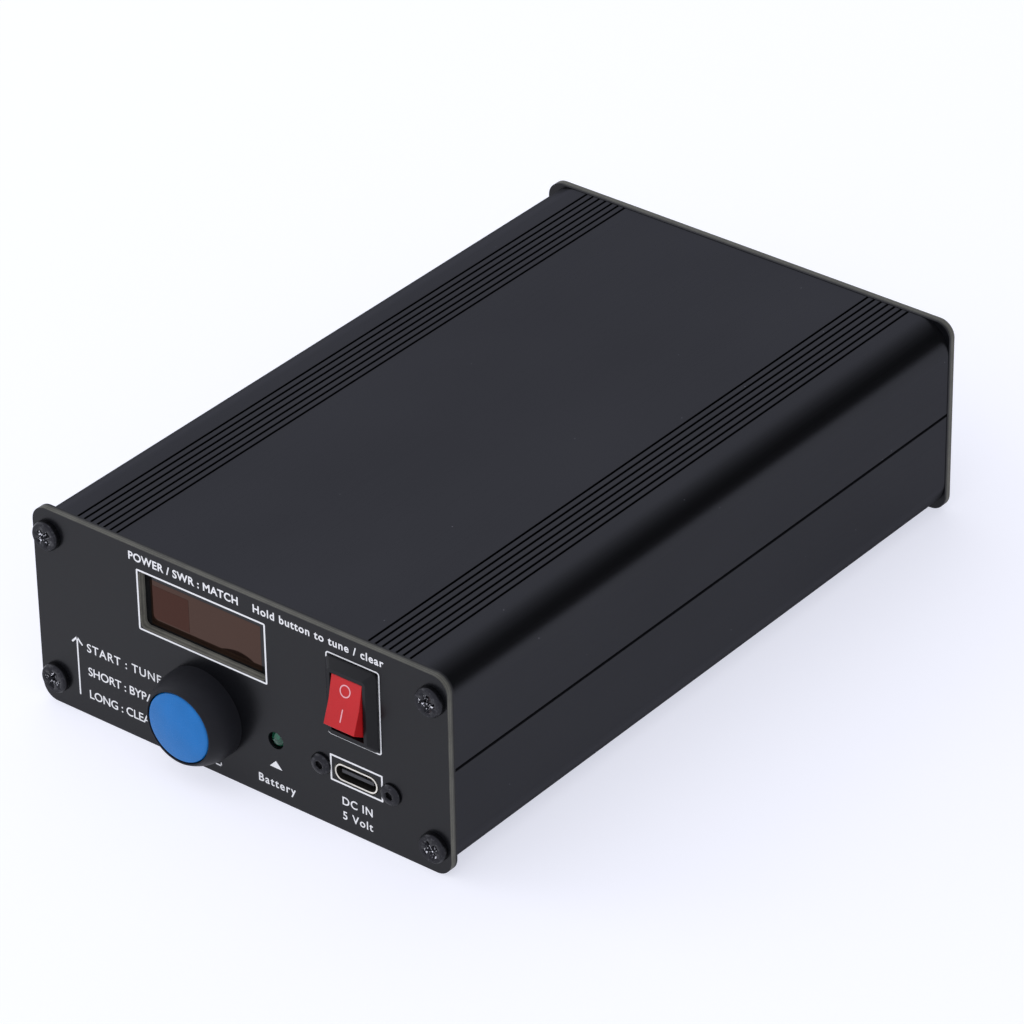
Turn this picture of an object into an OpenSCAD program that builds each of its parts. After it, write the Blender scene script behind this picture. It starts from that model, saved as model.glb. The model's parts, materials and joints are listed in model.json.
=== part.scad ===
// Automatic antenna tuner in a split extruded case, with an OLED display, a tune button,
// a power rocker, a USB-C charging port, two BNC sockets and a control jack.
// X is the width, Y runs from the front panel to the back, Z is up.
// The origin is on the resting surface, under the middle of the case.

/* [Case] */
// Width of the front and rear panels
case_w = 88; // [86:0.5:96]
// Height of the front and rear panels
case_h = 38; // [38:0.5:46]
// Depth over both panels
case_d = 140; // [138:1:180]
// Thickness of the extruded wall
wall = 1.6; // [1.4:0.1:2]
// Outer corner radius of the extrusion
case_corner_r = 6; // [5:0.5:7]
// Height of the seam between the two halves
seam_z = 20; // [18:0.5:24]
// Thickness of the circuit-board panels
panel_t = 1.6; // [1.2:0.1:2]
// Corner radius of the panels
panel_corner_r = 3; // [1:0.5:4]

/* [Grooves] */
// Grooves in each group
groove_count = 7; // [3:1:9]
// Spacing of the grooves
groove_pitch = 1.42; // [1.2:0.02:1.6]
// Width of one groove
groove_w = 0.42; // [0.4:0.02:0.8]
// Depth of one groove
groove_depth = 0.5; // [0.3:0.1:0.7]
// Distance from the middle of the case to the middle of each group
groove_group_x = 30.95; // [28:0.05:32]

/* [Display] */
// Width of the display window
window_w = 26.9; // [24:0.1:28]
// Height of the display window
window_h = 11; // [9:0.1:11.2]
// Sideways position of the display window
window_x = -7.45; // [-9:0.05:-6]
// Height of the middle of the display window
window_z = 28.1; // [27.5:0.1:28.5]

/* [Tune button] */
// Sideways position of the button
button_x = -8.15; // [-10:0.05:-7]
// Height of the button's axis
button_z = 11.1; // [10.8:0.1:11.4]
// Radius of the bezel where it meets the panel
button_bezel_r = 8.4; // [8.3:0.1:9]
// How far the bezel stands in front of the panel
button_bezel_h = 6.2; // [5.8:0.1:6.4]
// Radius of the coloured cap
button_cap_r = 6.42; // [6:0.01:6.5]
// How far the cap stands in front of the panel
button_cap_h = 6.8; // [6.6:0.1:7.2]
// Travel of the cap
button_travel = 1.5; // [1:0.1:1.6]

/* [Power switch] */
// Sideways position of the switch
switch_x = 24.6; // [23:0.1:26]
// Height of the middle of the switch
switch_z = 26.1; // [25.5:0.1:26.5]
// How far the rocker leans from its middle position
rocker_tilt = 16; // [12:0.5:16]

/* [USB port] */
// Sideways position of the port
usb_x = 24.6; // [23:0.1:26]
// Height of the middle of the port
usb_z = 11.4; // [11.2:0.1:11.6]
// Distance between the two port screws
usb_screw_pitch = 14.6; // [14:0.1:15.5]

/* [Charge light] */
// Sideways position of the light
led_x = 7.6; // [6:0.1:9]
// Height of the light
led_z = 11.8; // [11.5:0.1:12.5]

/* [Rear sockets] */
// Distance from the middle of the case to each BNC socket
bnc_x = 25; // [22:0.5:28]
// Height of the three rear sockets
socket_z = 19; // [18:0.5:20]

/* [Hidden] */
$fn = 48;
front_y = -case_d / 2;
back_y = case_d / 2;
inner_front_y = front_y + panel_t;
inner_back_y = back_y - panel_t;

// Extrusion
body_inset = 0.1;
body_w = case_w - 2 * body_inset;
body_h = case_h - body_inset;
body_front_y = inner_front_y;
body_back_y = inner_back_y;
inner_w = body_w - 2 * wall;
seam_gap = 0.12;
seam_chamfer = 0.25;
lip_t = 0.7;
lip_h = 1.2;
lip_clearance = 0.15;

// Panel screws: M3 pan heads in screw channels at the four corners
screw_x = case_w / 2 - 3.3;
screw_edge_z = 4.95;
screw_zs = [screw_edge_z, case_h - screw_edge_z];
boss_r = 2.8;
screw_bore_r = 1.3;
screw_shank_r = 1.25;
screw_shank_l = 9;
screw_head_r = 2.7;
screw_head_h = 1.2;
panel_screw_hole_r = 1.6;
channel_mouth = 1.5;

// Main circuit board and the rails that hold its edges
board_t = 1.6;
board_bottom_z = 9.1;
board_top_z = board_bottom_z + board_t;
board_gap = 0.1;
board_w = inner_w - 2 * board_gap;
board_front_y = front_y + 26;
board_back_y = back_y - 12;
rail_reach = 1.8;
rail_h = 1;
rail_clearance = 0.05;

// Display module behind the window
oled_glass = [30, 1.45, 11.5];
oled_board = [38, 1, 12];
oled_z = 28;
oled_gap = 0.05;
oled_glass_y = inner_front_y + oled_gap;
oled_board_y = oled_glass_y + oled_glass[1] + 0.05;
oled_tape_w = 3.4;
oled_pin_pitch = 2.54;
oled_pins = 4;
oled_pin = 0.64;
oled_pin_x = window_x - oled_board[0] / 2 + 1.8;
oled_pin_block = [2.4, 2.5, 10.2];
oled_pin_l = 5;

// Tune button: a 16 mm panel button
button_barrel_r = 7.9;
button_hole_r = 8.05;
button_front_y = front_y - button_bezel_h;
button_rim_r = 6.85;
button_recess_r = 6.55;
button_bezel_swell = 1.6;
button_recess_floor = 0.6;
button_barrel_l = 12;
button_guide_r = 2.55;
button_guide_l = 4;
button_chamber_r = 5;
button_tail_r = 7.2;
button_tail_l = 7;
button_end_wall = 2;
button_stem_r = 2.5;
button_flange_r = 4.7;
button_flange_gap = 0.2;
button_socket_r = 3.4;
button_cap_bottom = 2.6;
button_dome = 0.35;
button_edge_r = 0.6;
button_nut_flats = 18;
button_nut_t = 3;
button_washer_t = 0.8;
button_washer_r = 9.2;
button_thread_clearance = 0.05;
spring_r = 2.9;
spring_wire_r = 0.22;
spring_turns = 6;
button_chamber_y = front_y - button_recess_floor + button_guide_l;
button_tail_y = inner_front_y + button_barrel_l;
button_end_y = button_tail_y + button_tail_l;
button_chamber_end_y = button_end_y - button_end_wall;
plunger_back_y = button_chamber_end_y - 4.2;
plunger_seat_y = plunger_back_y - 2.2;
terminal_spread = 2.6;
terminal_foot_t = 0.5;
terminal_rise = 1.85;

// Power switch: a small snap-in rocker switch
bezel_w = 10.5;
bezel_h = 15;
bezel_t = 1.8;
bezel_r = 0.8;
bezel_edge_t = 0.5;
bezel_slope = 1.25;
switch_body_w = 8.4;
switch_body_h = 13;
switch_body_l = 12;
switch_cutout_gap = 0.1;
switch_mouth_w = 6.7;
switch_mouth_h = 11;
switch_floor_t = 2;
rocker_w = 6.3;
rocker_pivot_y = front_y + 1;
rocker_trunnion_r = 0.9;
rocker_trunnion_reach = 0.55;
trunnion_clearance = 0.05;
trunnion_bore_l = 0.7;
rocker_corner = [4.35, 3.9];
rocker_dish = 0.3;
rocker_heel = [5.3, 0.5];
rocker_skirt = [4.5, -0.6];
rocker_hub = [1.7, -1.5];
rocker_pin_r = 1;
rocker_pin_l = 5.6;
rocker_pin_clearance = 0.03;
switch_floor_y = inner_front_y + switch_body_l - switch_floor_t;
seesaw_y = rocker_pivot_y + 5.9;
seesaw = [4, 0.4, 10];
seesaw_tilt = 8;
blade_w = 2.8;
blade_t = 0.6;
blade_tail_l = 7;
button_tail_blade_l = 4.3;
blade_clearance = 0.05;
contact_z = 4.2;

// USB-C port
usb_shell_w = 8.94;
usb_shell_h = 3.26;
usb_shell_t = 0.3;
usb_shell_l = 7.4;
usb_front_y = front_y - 0.1;
usb_opening_gap = 0.15;
usb_tongue = [6.7, 5.4, 0.7];
usb_base_l = 1.8;
usb_flange = [19.4, 3, 6.6];
usb_board = [10, 11, 0.8];
usb_screw_bore_r = 0.85;
usb_screw_shank_r = 0.8;
usb_screw_head_r = 2;
usb_screw_head_h = 0.8;
usb_screw_l = 5;

// Charge light: a 3 mm LED with its leads bent into the board
led_r = 1.5;
led_hole_r = 1.6;
led_flange_r = 1.9;
led_tip_y = front_y + 0.1;
led_flange_y = inner_front_y + 0.05;
led_back_y = led_flange_y + 2.4;
led_lead = 0.5;
led_lead_spread = 2.54;
led_lead_end_y = board_front_y + 2;

// BNC sockets
bnc_hole_r = 4.8;
bnc_thread_r = 4.7;
bnc_thread_l = 8;
bnc_flange_r = 7;
bnc_flange_t = 2.4;
bnc_barrel_r = 4.83;
bnc_barrel_l = 10.5;
bnc_cavity_r = 4.06;
bnc_cavity_l = 9;
bnc_lug_r = 1;
bnc_lug_reach = 0.75;
bnc_lug_from_mouth = 4.6;
bnc_insulator_r = 2.4;
bnc_insulator_clearance = 0.03;
bnc_contact_r = 1.1;
bnc_contact_bore_r = 0.7;
bnc_contact_bore_l = 4;
bnc_tail_r = 0.8;
bnc_tail_l = 3;
bnc_nut_flats = 12.7;
bnc_nut_t = 2;
bnc_tag_t = 0.5;
bnc_mouth_y = back_y + bnc_flange_t + bnc_barrel_l;
bnc_tag_y = inner_back_y - bnc_tag_t;
bnc_rear_y = inner_back_y - bnc_thread_l;

// 3.5 mm control jack
jack_body = [9, 11, 9];
jack_thread_r = 3;
jack_thread_l = 4;
jack_hole_r = 3.1;
jack_bore_r = 1.8;
jack_bore_l = 13;
jack_nut_r = 4;
jack_nut_t = 1.8;

// Tuning network: one row of parts for each of the seven inductor and capacitor steps
rows = 7;
row_pitch = 12.8;
row_front_y = board_front_y + 11.5;
function row_y(i) = row_front_y + row_pitch * i;
relay = [15, 7.4, 9.5];
relay_xs = [-6.5, 32.5];
coil_x = 12.5;
air_coil_rows = [0, 1, 2];
toroid_rows = [3, 4, 5, 6];
toroid_outer_r = 4.75;
toroid_inner_r = 2.6;
toroid_h = 3.25;
winding_r = 2.3;
winding_wire_r = 0.25;
toroid_turns = 10;
toroid_turn_step = 30;
toroid_z = board_top_z + 2.7;
air_coil_r = 2.8;
air_coil_wire_r = 0.4;
air_coil_turns = 6;
air_coil_pitch = 1.2;
air_coil_z = board_top_z + 3.3;
capacitor = [3.2, 2.5, 1.8];
capacitor_x = 21.9;
coupler = [14, 5, 7.5];
coupler_at = [13, 54.6];
coupler_bore_r = 1.9;
coupler_bore_x = 3.3;
coupler_wire_r = 0.45;
controller = [7, 7, 1.2];
controller_at = [-13, 53];
driver = [6, 9.9, 1.5];
driver_ys = [-25, -5, 15, 35];
driver_x = 10;

// Battery
cell_r = 9.1;
cell_l = 65;
holder = [21, 77, 13];
holder_at = [-28.5, 6];
holder_wall = 1.2;
holder_floor = 1.2;
holder_gap = 0.2;
cell_z = board_top_z + holder_floor + holder_gap + cell_r;
contact_plate = [8, 0.4, 10];
contact_pad_r = 3;
contact_pad_l = 4.8;

// Wiring: plug housings on the board, and the wires that run to them
plug = [5, 4, 4.5];
plug_y = board_front_y + 5;
button_plug_x = -8;
switch_plug_x = 35;
usb_plug_x = 22;
display_plug_x = -24;
plug_xs = [button_plug_x, switch_plug_x, usb_plug_x, display_plug_x];
plug_top_z = board_top_z + plug[2];
wire_r = 0.6;
display_wire_r = 0.35;
coax_r = 1;
wire_rings = 14;
wire_sides = 8;
wire_gap = 1.5;
wire_end_gap = 0.15;

// ---- Shapes that repeat ----

// A solid whose outline lies in the XZ plane, drawn from y0 back to y1
module upright(y0, y1) {
    translate([0, y1, 0])
        rotate([90, 0, 0])
            linear_extrude(y1 - y0)
                children();
}

// A round bar along Y
module rod(r, y0, y1) {
    translate([0, y0, 0])
        rotate([-90, 0, 0])
            cylinder(r = r, h = y1 - y0);
}

// A hexagonal bar along Y
module hex_bar(flats, y0, y1) {
    translate([0, y0, 0])
        rotate([-90, 0, 0])
            cylinder(r = flats / sqrt(3), h = y1 - y0, $fn = 6);
}

// A box standing on z, centred on a point of the board
module standing(size, at, z) {
    translate([at[0] - size[0] / 2, at[1] - size[1] / 2, z])
        cube(size);
}

// A rounded rectangle centred on the origin
module rounded(w, h, r) {
    square([w - 2 * r, h], center = true);
    square([w, h - 2 * r], center = true);
    for (sx = [-1, 1], sy = [-1, 1])
        translate([sx * (w / 2 - r), sy * (h / 2 - r)])
            circle(r);
}

// A solid turned about the Y axis from (radius, distance back) points
module turned(points) {
    rotate([-90, 0, 0])
        rotate_extrude()
            polygon(points);
}

// A closed ring of wire in the XZ plane
module wire_ring(r, wire) {
    rotate([-90, 0, 0])
        rotate_extrude()
            translate([r, 0])
                circle(wire, $fn = 16);
}

// Points along a curve that leaves a towards b and arrives at d from c
function curve(a, b, c, d, n = wire_rings) = [
    for (i = [0:n - 1])
        let (t = i / (n - 1), s = 1 - t)
            s * s * s * a + 3 * s * s * t * b + 3 * s * t * t * c + t * t * t * d
];
function unit(v) = v / norm(v);
function heading(p, i) = unit(p[min(i + 1, len(p) - 1)] - p[max(i - 1, 0)]);
function wire_section(p, i, r) =
    let (t = heading(p, i), a = unit(cross(t, [1, 0, 0])), b = cross(t, a))
        [for (k = [0:wire_sides - 1])
            let (turn = 360 * k / wire_sides)
                p[i] + r * (cos(turn) * a + sin(turn) * b)];

// A wire swept along a list of points
module wire(p, r) {
    n = wire_sides;
    last = len(p) - 1;
    points = [for (i = [0:last]) each wire_section(p, i, r)];
    sides = [for (i = [0:last - 1], k = [0:n - 1])
        [i * n + k, (i + 1) * n + k, (i + 1) * n + (k + 1) % n, i * n + (k + 1) % n]];
    front = [for (k = [0:n - 1]) k];
    back = [for (k = [n - 1:-1:0]) last * n + k];
    polyhedron(points, concat([front], sides, [back]));
}

// ---- Case ----

module body_outline() {
    translate([0, body_h / 2])
        rounded(body_w, body_h, case_corner_r);
}

module body_hollow() {
    translate([0, body_h / 2])
        rounded(inner_w, body_h - 2 * wall, case_corner_r - wall);
}

// Grooves cut in from the level z, on the face that looks up or down
module groove_groups(z) {
    for (side = [-1, 1], i = [0:groove_count - 1])
        translate([side * groove_group_x + (i - (groove_count - 1) / 2) * groove_pitch, z])
            square([groove_w, 2 * groove_depth], center = true);
}

// The wall with its two screw channels at the height z
module wall_section(z) {
    difference() {
        union() {
            difference() {
                body_outline();
                body_hollow();
            }
            intersection() {
                body_outline();
                for (side = [-1, 1])
                    translate([side * screw_x, z])
                        circle(boss_r);
            }
        }
        for (side = [-1, 1])
            translate([side * screw_x, z]) {
                circle(screw_bore_r);
                translate([-side * boss_r / 2, 0])
                    square([boss_r + 1, channel_mouth], center = true);
            }
    }
}

// Small bevel on the outer edge of the seam
module seam_bevel(z) {
    for (side = [-1, 1])
        translate([side * body_w / 2, z])
            rotate(45)
                square(seam_chamfer * sqrt(2), center = true);
}

module upper_shell() {
    color([0.23, 0.23, 0.25])
        upright(body_front_y, body_back_y)
            difference() {
                intersection() {
                    wall_section(screw_zs[1]);
                    translate([-body_w / 2, seam_z + seam_gap])
                        square([body_w, body_h]);
                }
                groove_groups(body_h);
                seam_bevel(seam_z + seam_gap);
                for (side = [-1, 1])
                    translate([side * inner_w / 2, seam_z])
                        square(2 * [lip_t + lip_clearance, lip_h + lip_clearance], center = true);
            }
}

module lower_shell() {
    color([0.21, 0.21, 0.23])
        upright(body_front_y, body_back_y) {
            difference() {
                intersection() {
                    wall_section(screw_zs[0]);
                    translate([-body_w / 2, 0])
                        square([body_w, seam_z]);
                }
                groove_groups(0);
                seam_bevel(seam_z);
            }
            for (side = [-1, 1]) {
                translate([side * (inner_w + lip_t) / 2, seam_z])
                    square([lip_t, 2 * lip_h], center = true);
                for (z = [board_bottom_z - rail_clearance - rail_h, board_top_z + rail_clearance])
                    translate([side * (inner_w / 2 - rail_reach / 2 + 0.3), z + rail_h / 2])
                        square([rail_reach + 0.6, rail_h], center = true);
            }
        }
}

module panel_outline() {
    difference() {
        translate([0, case_h / 2])
            rounded(case_w, case_h, panel_corner_r);
        for (side = [-1, 1], z = screw_zs)
            translate([side * screw_x, z])
                circle(panel_screw_hole_r);
    }
}

module usb_outline(grow) {
    rounded(usb_shell_w + 2 * grow, usb_shell_h + 2 * grow, usb_shell_h / 2 + grow - 0.01);
}

module front_panel() {
    color([0.18, 0.18, 0.19])
        upright(front_y, inner_front_y)
            difference() {
                panel_outline();
                translate([window_x, window_z])
                    rounded(window_w, window_h, 1);
                translate([button_x, button_z])
                    circle(button_hole_r);
                translate([switch_x, switch_z])
                    square([switch_body_w + 2 * switch_cutout_gap,
                        switch_body_h + 2 * switch_cutout_gap], center = true);
                translate([usb_x, usb_z])
                    usb_outline(usb_opening_gap);
                for (side = [-1, 1])
                    translate([usb_x + side * usb_screw_pitch / 2, usb_z])
                        circle(usb_screw_bore_r + 0.15);
                translate([led_x, led_z])
                    circle(led_hole_r);
            }
}

module rear_panel() {
    color([0.18, 0.18, 0.19])
        upright(inner_back_y, back_y)
            difference() {
                panel_outline();
                for (side = [-1, 1])
                    translate([side * bnc_x, socket_z])
                        circle(bnc_hole_r);
                translate([0, socket_z])
                    circle(jack_hole_r);
            }
}

// A pan-head screw pointing back from the plane y = 0, with a cross recess
module panel_screw() {
    recess_w = 0.8;
    recess_l = 2.9;
    recess_depth = 0.95;
    edge = 0.5;
    difference() {
        union() {
            turned([
                [0, -screw_head_h],
                [screw_head_r - edge, -screw_head_h],
                for (a = [30, 60, 90])
                    [screw_head_r - edge + edge * sin(a), -screw_head_h + edge * (1 - cos(a))],
                [screw_head_r, 0],
                [0, 0]
            ]);
            rod(screw_shank_r, 0, screw_shank_l);
        }
        for (turn = [0, 90])
            rotate([0, turn, 0])
                translate([-recess_l / 2, -screw_head_h - 1, -recess_w / 2])
                    cube([recess_l, recess_depth + 1, recess_w]);
    }
}

module front_panel_screws() {
    color([0.1, 0.1, 0.11])
        for (side = [-1, 1], z = screw_zs)
            translate([side * screw_x, front_y, z])
                rotate([0, side * 20 + z, 0])
                    panel_screw();
}

module rear_panel_screws() {
    color([0.1, 0.1, 0.11])
        for (side = [-1, 1], z = screw_zs)
            translate([side * screw_x, back_y, z])
                rotate([0, 0, 180])
                    rotate([0, side * 35 - z, 0])
                        panel_screw();
}

// ---- Display ----

module display_glass() {
    color([0.25, 0.14, 0.1])
        translate([window_x - oled_glass[0] / 2, oled_glass_y, oled_z - oled_glass[2] / 2])
            cube(oled_glass);
}

module display_board() {
    color([0.05, 0.12, 0.25])
        translate([window_x - oled_board[0] / 2, oled_board_y, oled_z - oled_board[2] / 2])
            cube(oled_board);
}

// Foam tape pads that hold the module's ends to the back of the panel
module display_tape() {
    color([0.85, 0.85, 0.82])
        for (side = [-1, 1])
            translate([window_x + side * (oled_board[0] - oled_tape_w) / 2 - oled_tape_w / 2,
                inner_front_y, oled_z - oled_board[2] / 2])
                cube([oled_tape_w, oled_board_y - inner_front_y, oled_board[2]]);
}

module display_header() {
    color([0.08, 0.08, 0.08])
        difference() {
            translate([oled_pin_x - oled_pin_block[0] / 2, oled_board_y + oled_board[1],
                oled_z - oled_pin_block[2] / 2])
                cube(oled_pin_block);
            display_pins(0.02);
        }
}

module display_pins(grow = 0) {
    color([0.8, 0.68, 0.35])
        for (i = [0:oled_pins - 1])
            translate([oled_pin_x, oled_board_y + oled_board[1],
                oled_z + (i - (oled_pins - 1) / 2) * oled_pin_pitch])
                upright(0, oled_pin_block[1] + oled_pin_l)
                    square(oled_pin + 2 * grow, center = true);
}

// ---- Tune button ----

module at_button() {
    translate([button_x, 0, button_z])
        children();
}

// Outer curve of the bezel, from the panel to its front rim
function bezel_radius(h) =
    button_rim_r
        + (button_bezel_r - button_rim_r) * cos(90 * pow(h / button_bezel_h, button_bezel_swell));

module button_housing() {
    steps = 8;
    color([0.12, 0.12, 0.13])
        at_button()
            difference() {
                union() {
                    turned([
                        [0, front_y],
                        for (i = [0:steps - 1])
                            let (h = button_bezel_h * i / steps)
                                [bezel_radius(h), front_y - h],
                        [button_rim_r - 0.1, button_front_y],
                        [0, button_front_y]
                    ]);
                    rod(button_barrel_r, front_y, button_tail_y);
                    rod(button_tail_r, button_tail_y, button_end_y);
                }
                rod(button_recess_r, button_front_y - 1, front_y - button_recess_floor);
                rod(button_guide_r, front_y - 1, button_chamber_y + 1);
                rod(button_chamber_r, button_chamber_y, button_chamber_end_y);
                for (side = [-1, 1])
                    translate([side * terminal_spread, 0, 0])
                        upright(button_end_y - button_end_wall - 1, button_end_y + 1)
                            square([blade_t + 2 * blade_clearance, blade_w + 2 * blade_clearance],
                                center = true);
            }
}

module button_washer() {
    color([0.6, 0.6, 0.62])
        at_button()
            difference() {
                rod(button_washer_r, inner_front_y, inner_front_y + button_washer_t);
                rod(button_barrel_r + button_thread_clearance, inner_front_y - 1, button_tail_y);
            }
}

module button_nut() {
    nut_y = inner_front_y + button_washer_t;
    color([0.15, 0.15, 0.16])
        at_button()
            difference() {
                hex_bar(button_nut_flats, nut_y, nut_y + button_nut_t);
                rod(button_barrel_r + button_thread_clearance, nut_y - 1, button_tail_y);
            }
}

module button_cap() {
    face_y = front_y - button_cap_h;
    back_of_cap = front_y - button_cap_bottom;
    socket_depth = 1.6;
    dome_steps = 6;
    color([0.1, 0.42, 0.78])
        at_button()
            difference() {
                turned([
                    [0, face_y],
                    for (i = [1:dome_steps])
                        let (r = (button_cap_r - button_edge_r) * i / dome_steps)
                            [r, face_y + button_dome * pow(r / button_cap_r, 2)],
                    for (a = [30, 60, 90])
                        [button_cap_r - button_edge_r * (1 - sin(a)),
                            face_y + button_dome + button_edge_r * (1 - cos(a))],
                    [button_cap_r, back_of_cap],
                    [0, back_of_cap]
                ]);
                rod(button_stem_r + 0.02, back_of_cap - socket_depth, back_of_cap + 1);
            }
}

// The stem carries the cap, stops on its flange, and takes the return spring in its hollow back
module button_plunger() {
    flange_y = button_chamber_y + button_flange_gap;
    stem_front_y = front_y - button_cap_bottom - 1.6;
    color([0.85, 0.85, 0.83])
        at_button()
            difference() {
                union() {
                    rod(button_stem_r, stem_front_y, flange_y + 1);
                    rod(button_flange_r, flange_y, plunger_back_y);
                }
                rod(button_socket_r, plunger_seat_y, plunger_back_y + 1);
            }
}

// Bridge pressed into the plunger's back rim, which closes the two terminals
module button_contact() {
    color([0.75, 0.55, 0.3])
        at_button()
            difference() {
                rod(button_flange_r, plunger_back_y, plunger_back_y + 0.4);
                rod(button_socket_r, plunger_back_y - 1, plunger_back_y + 1);
            }
}

module button_spring() {
    spring_front_y = plunger_back_y - 0.3 + spring_wire_r;
    spring_back_y = button_chamber_end_y - terminal_foot_t - 0.1 - spring_wire_r;
    color([0.7, 0.7, 0.72])
        at_button()
            for (i = [0:spring_turns - 1])
                translate([0, spring_front_y
                    + (spring_back_y - spring_front_y) * i / (spring_turns - 1), 0])
                    wire_ring(spring_r, spring_wire_r);
}

// Each terminal has a tail outside, and a foot and a finger that meets the bridge inside
module button_terminals() {
    finger_x = button_flange_r - 0.5;
    color([0.8, 0.78, 0.7])
        at_button()
            for (side = [0, 180])
                rotate([0, side, 0]) {
                    upright(button_chamber_end_y - terminal_foot_t, button_end_y + button_tail_blade_l)
                        translate([terminal_spread, 0])
                            square([blade_t, blade_w], center = true);
                    upright(button_chamber_end_y - terminal_foot_t, button_chamber_end_y)
                        translate([(terminal_spread + finger_x) / 2, 0])
                            square([finger_x - terminal_spread + blade_t, blade_w], center = true);
                    upright(button_chamber_end_y - terminal_rise, button_chamber_end_y)
                        translate([finger_x, 0])
                            square([blade_t, blade_w], center = true);
                }
}

// ---- Power switch ----

module at_switch() {
    translate([switch_x, 0, switch_z])
        children();
}

module switch_housing() {
    clip = [3, 3, 0.9];
    front_of_bezel = front_y - bezel_t;
    color([0.07, 0.07, 0.08])
        at_switch()
            difference() {
                union() {
                    hull() {
                        upright(front_y - bezel_edge_t, front_y)
                            rounded(bezel_w, bezel_h, bezel_r);
                        upright(front_of_bezel, front_y)
                            rounded(bezel_w - 2 * bezel_slope, bezel_h - 2 * bezel_slope, bezel_r);
                    }
                    upright(front_y, switch_floor_y + switch_floor_t)
                        square([switch_body_w, switch_body_h], center = true);
                    for (side = [-1, 1])
                        translate([-clip[0] / 2, inner_front_y + 0.1,
                            side * (switch_body_h + clip[2]) / 2 - clip[2] / 2])
                            cube(clip);
                }
                upright(front_of_bezel - 1, switch_floor_y)
                    square([switch_mouth_w, switch_mouth_h], center = true);
                translate([-switch_mouth_w / 2 - trunnion_bore_l, rocker_pivot_y, 0])
                    rotate([0, 90, 0])
                        cylinder(r = rocker_trunnion_r + trunnion_clearance,
                            h = switch_mouth_w + 2 * trunnion_bore_l);
                for (z = [0, contact_z])
                    translate([0, 0, z])
                        upright(switch_floor_y - 1, switch_floor_y + switch_floor_t + 1)
                            square([blade_w + 2 * blade_clearance, blade_t + 2 * blade_clearance],
                                center = true);
            }
}

// Everything on the rocker leans about its pivot, upper end pressed in
module on_rocker() {
    translate([switch_x, rocker_pivot_y, switch_z])
        rotate([-rocker_tilt, 0, 0])
            children();
}

module power_rocker() {
    outline = [
        [-rocker_corner[0], rocker_corner[1]],
        [0, rocker_corner[1] - rocker_dish],
        [rocker_corner[0], rocker_corner[1]],
        [rocker_heel[0], rocker_heel[1]],
        [rocker_skirt[0], rocker_skirt[1]],
        [rocker_hub[0], rocker_hub[1]],
        [-rocker_hub[0], rocker_hub[1]],
        [-rocker_skirt[0], rocker_skirt[1]],
        [-rocker_heel[0], rocker_heel[1]]
    ];
    color([0.8, 0.12, 0.14])
        on_rocker()
            difference() {
                union() {
                    translate([-rocker_w / 2, 0, 0])
                        rotate([0, 90, 0])
                            linear_extrude(rocker_w)
                                polygon([for (p = outline) [-p[0], -p[1]]]);
                    translate([-rocker_w / 2 - rocker_trunnion_reach, 0, 0])
                        rotate([0, 90, 0])
                            cylinder(r = rocker_trunnion_r, h = rocker_w + 2 * rocker_trunnion_reach);
                }
                rod(rocker_pin_r + rocker_pin_clearance, -1.6, 3);
            }
}

// Spring-loaded pin that slides along the tipping contact
module rocker_plunger() {
    color([0.85, 0.85, 0.8])
        on_rocker()
            union() {
                rod(rocker_pin_r, -1.5, rocker_pin_l - rocker_pin_r);
                translate([0, rocker_pin_l - rocker_pin_r, 0])
                    sphere(rocker_pin_r);
            }
}

module switch_contact() {
    color([0.72, 0.45, 0.25])
        translate([switch_x, seesaw_y, switch_z])
            rotate([seesaw_tilt, 0, 0])
                cube(seesaw, center = true);
}

module switch_terminals() {
    centre_y = seesaw_y + seesaw[1] / 2 + 0.1;
    upper_y = centre_y + contact_z * sin(seesaw_tilt) + 0.1;
    color([0.8, 0.78, 0.7])
        at_switch()
            for (tab = [[0, centre_y], [contact_z, upper_y]])
                translate([0, 0, tab[0]])
                    upright(tab[1], switch_floor_y + switch_floor_t + blade_tail_l)
                        square([blade_w, blade_t], center = true);
}

// ---- USB-C port ----

module at_usb() {
    translate([usb_x, 0, usb_z])
        children();
}

module usb_shell() {
    color([0.85, 0.8, 0.68])
        at_usb()
            upright(usb_front_y, usb_front_y + usb_shell_l)
                difference() {
                    usb_outline(0);
                    usb_outline(-usb_shell_t);
                }
}

module usb_tongue() {
    tongue_y = usb_front_y + 0.5;
    base_y = usb_front_y + usb_shell_l - usb_base_l;
    color([0.2, 0.2, 0.21])
        at_usb() {
            translate([-usb_tongue[0] / 2, tongue_y, -usb_tongue[2] / 2])
                cube([usb_tongue[0], base_y - tongue_y + 0.5, usb_tongue[2]]);
            upright(base_y, base_y + usb_base_l)
                usb_outline(-usb_shell_t - 0.02);
        }
}

module usb_flange() {
    color([0.1, 0.1, 0.1])
        at_usb()
            difference() {
                upright(inner_front_y, inner_front_y + usb_flange[1])
                    rounded(usb_flange[0], usb_flange[2], 1.5);
                upright(inner_front_y - 1, inner_front_y + usb_flange[1] + 1)
                    usb_outline(0.03);
                for (side = [-1, 1])
                    translate([side * usb_screw_pitch / 2, 0, 0])
                        rod(usb_screw_bore_r, inner_front_y - 1, inner_front_y + usb_flange[1] + 1);
            }
}

module usb_board() {
    color([0.05, 0.3, 0.15])
        at_usb()
            translate([-usb_board[0] / 2, inner_front_y + usb_flange[1] + 0.1,
                -usb_shell_h / 2 - usb_board[2] - 0.03])
                cube(usb_board);
}

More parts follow.
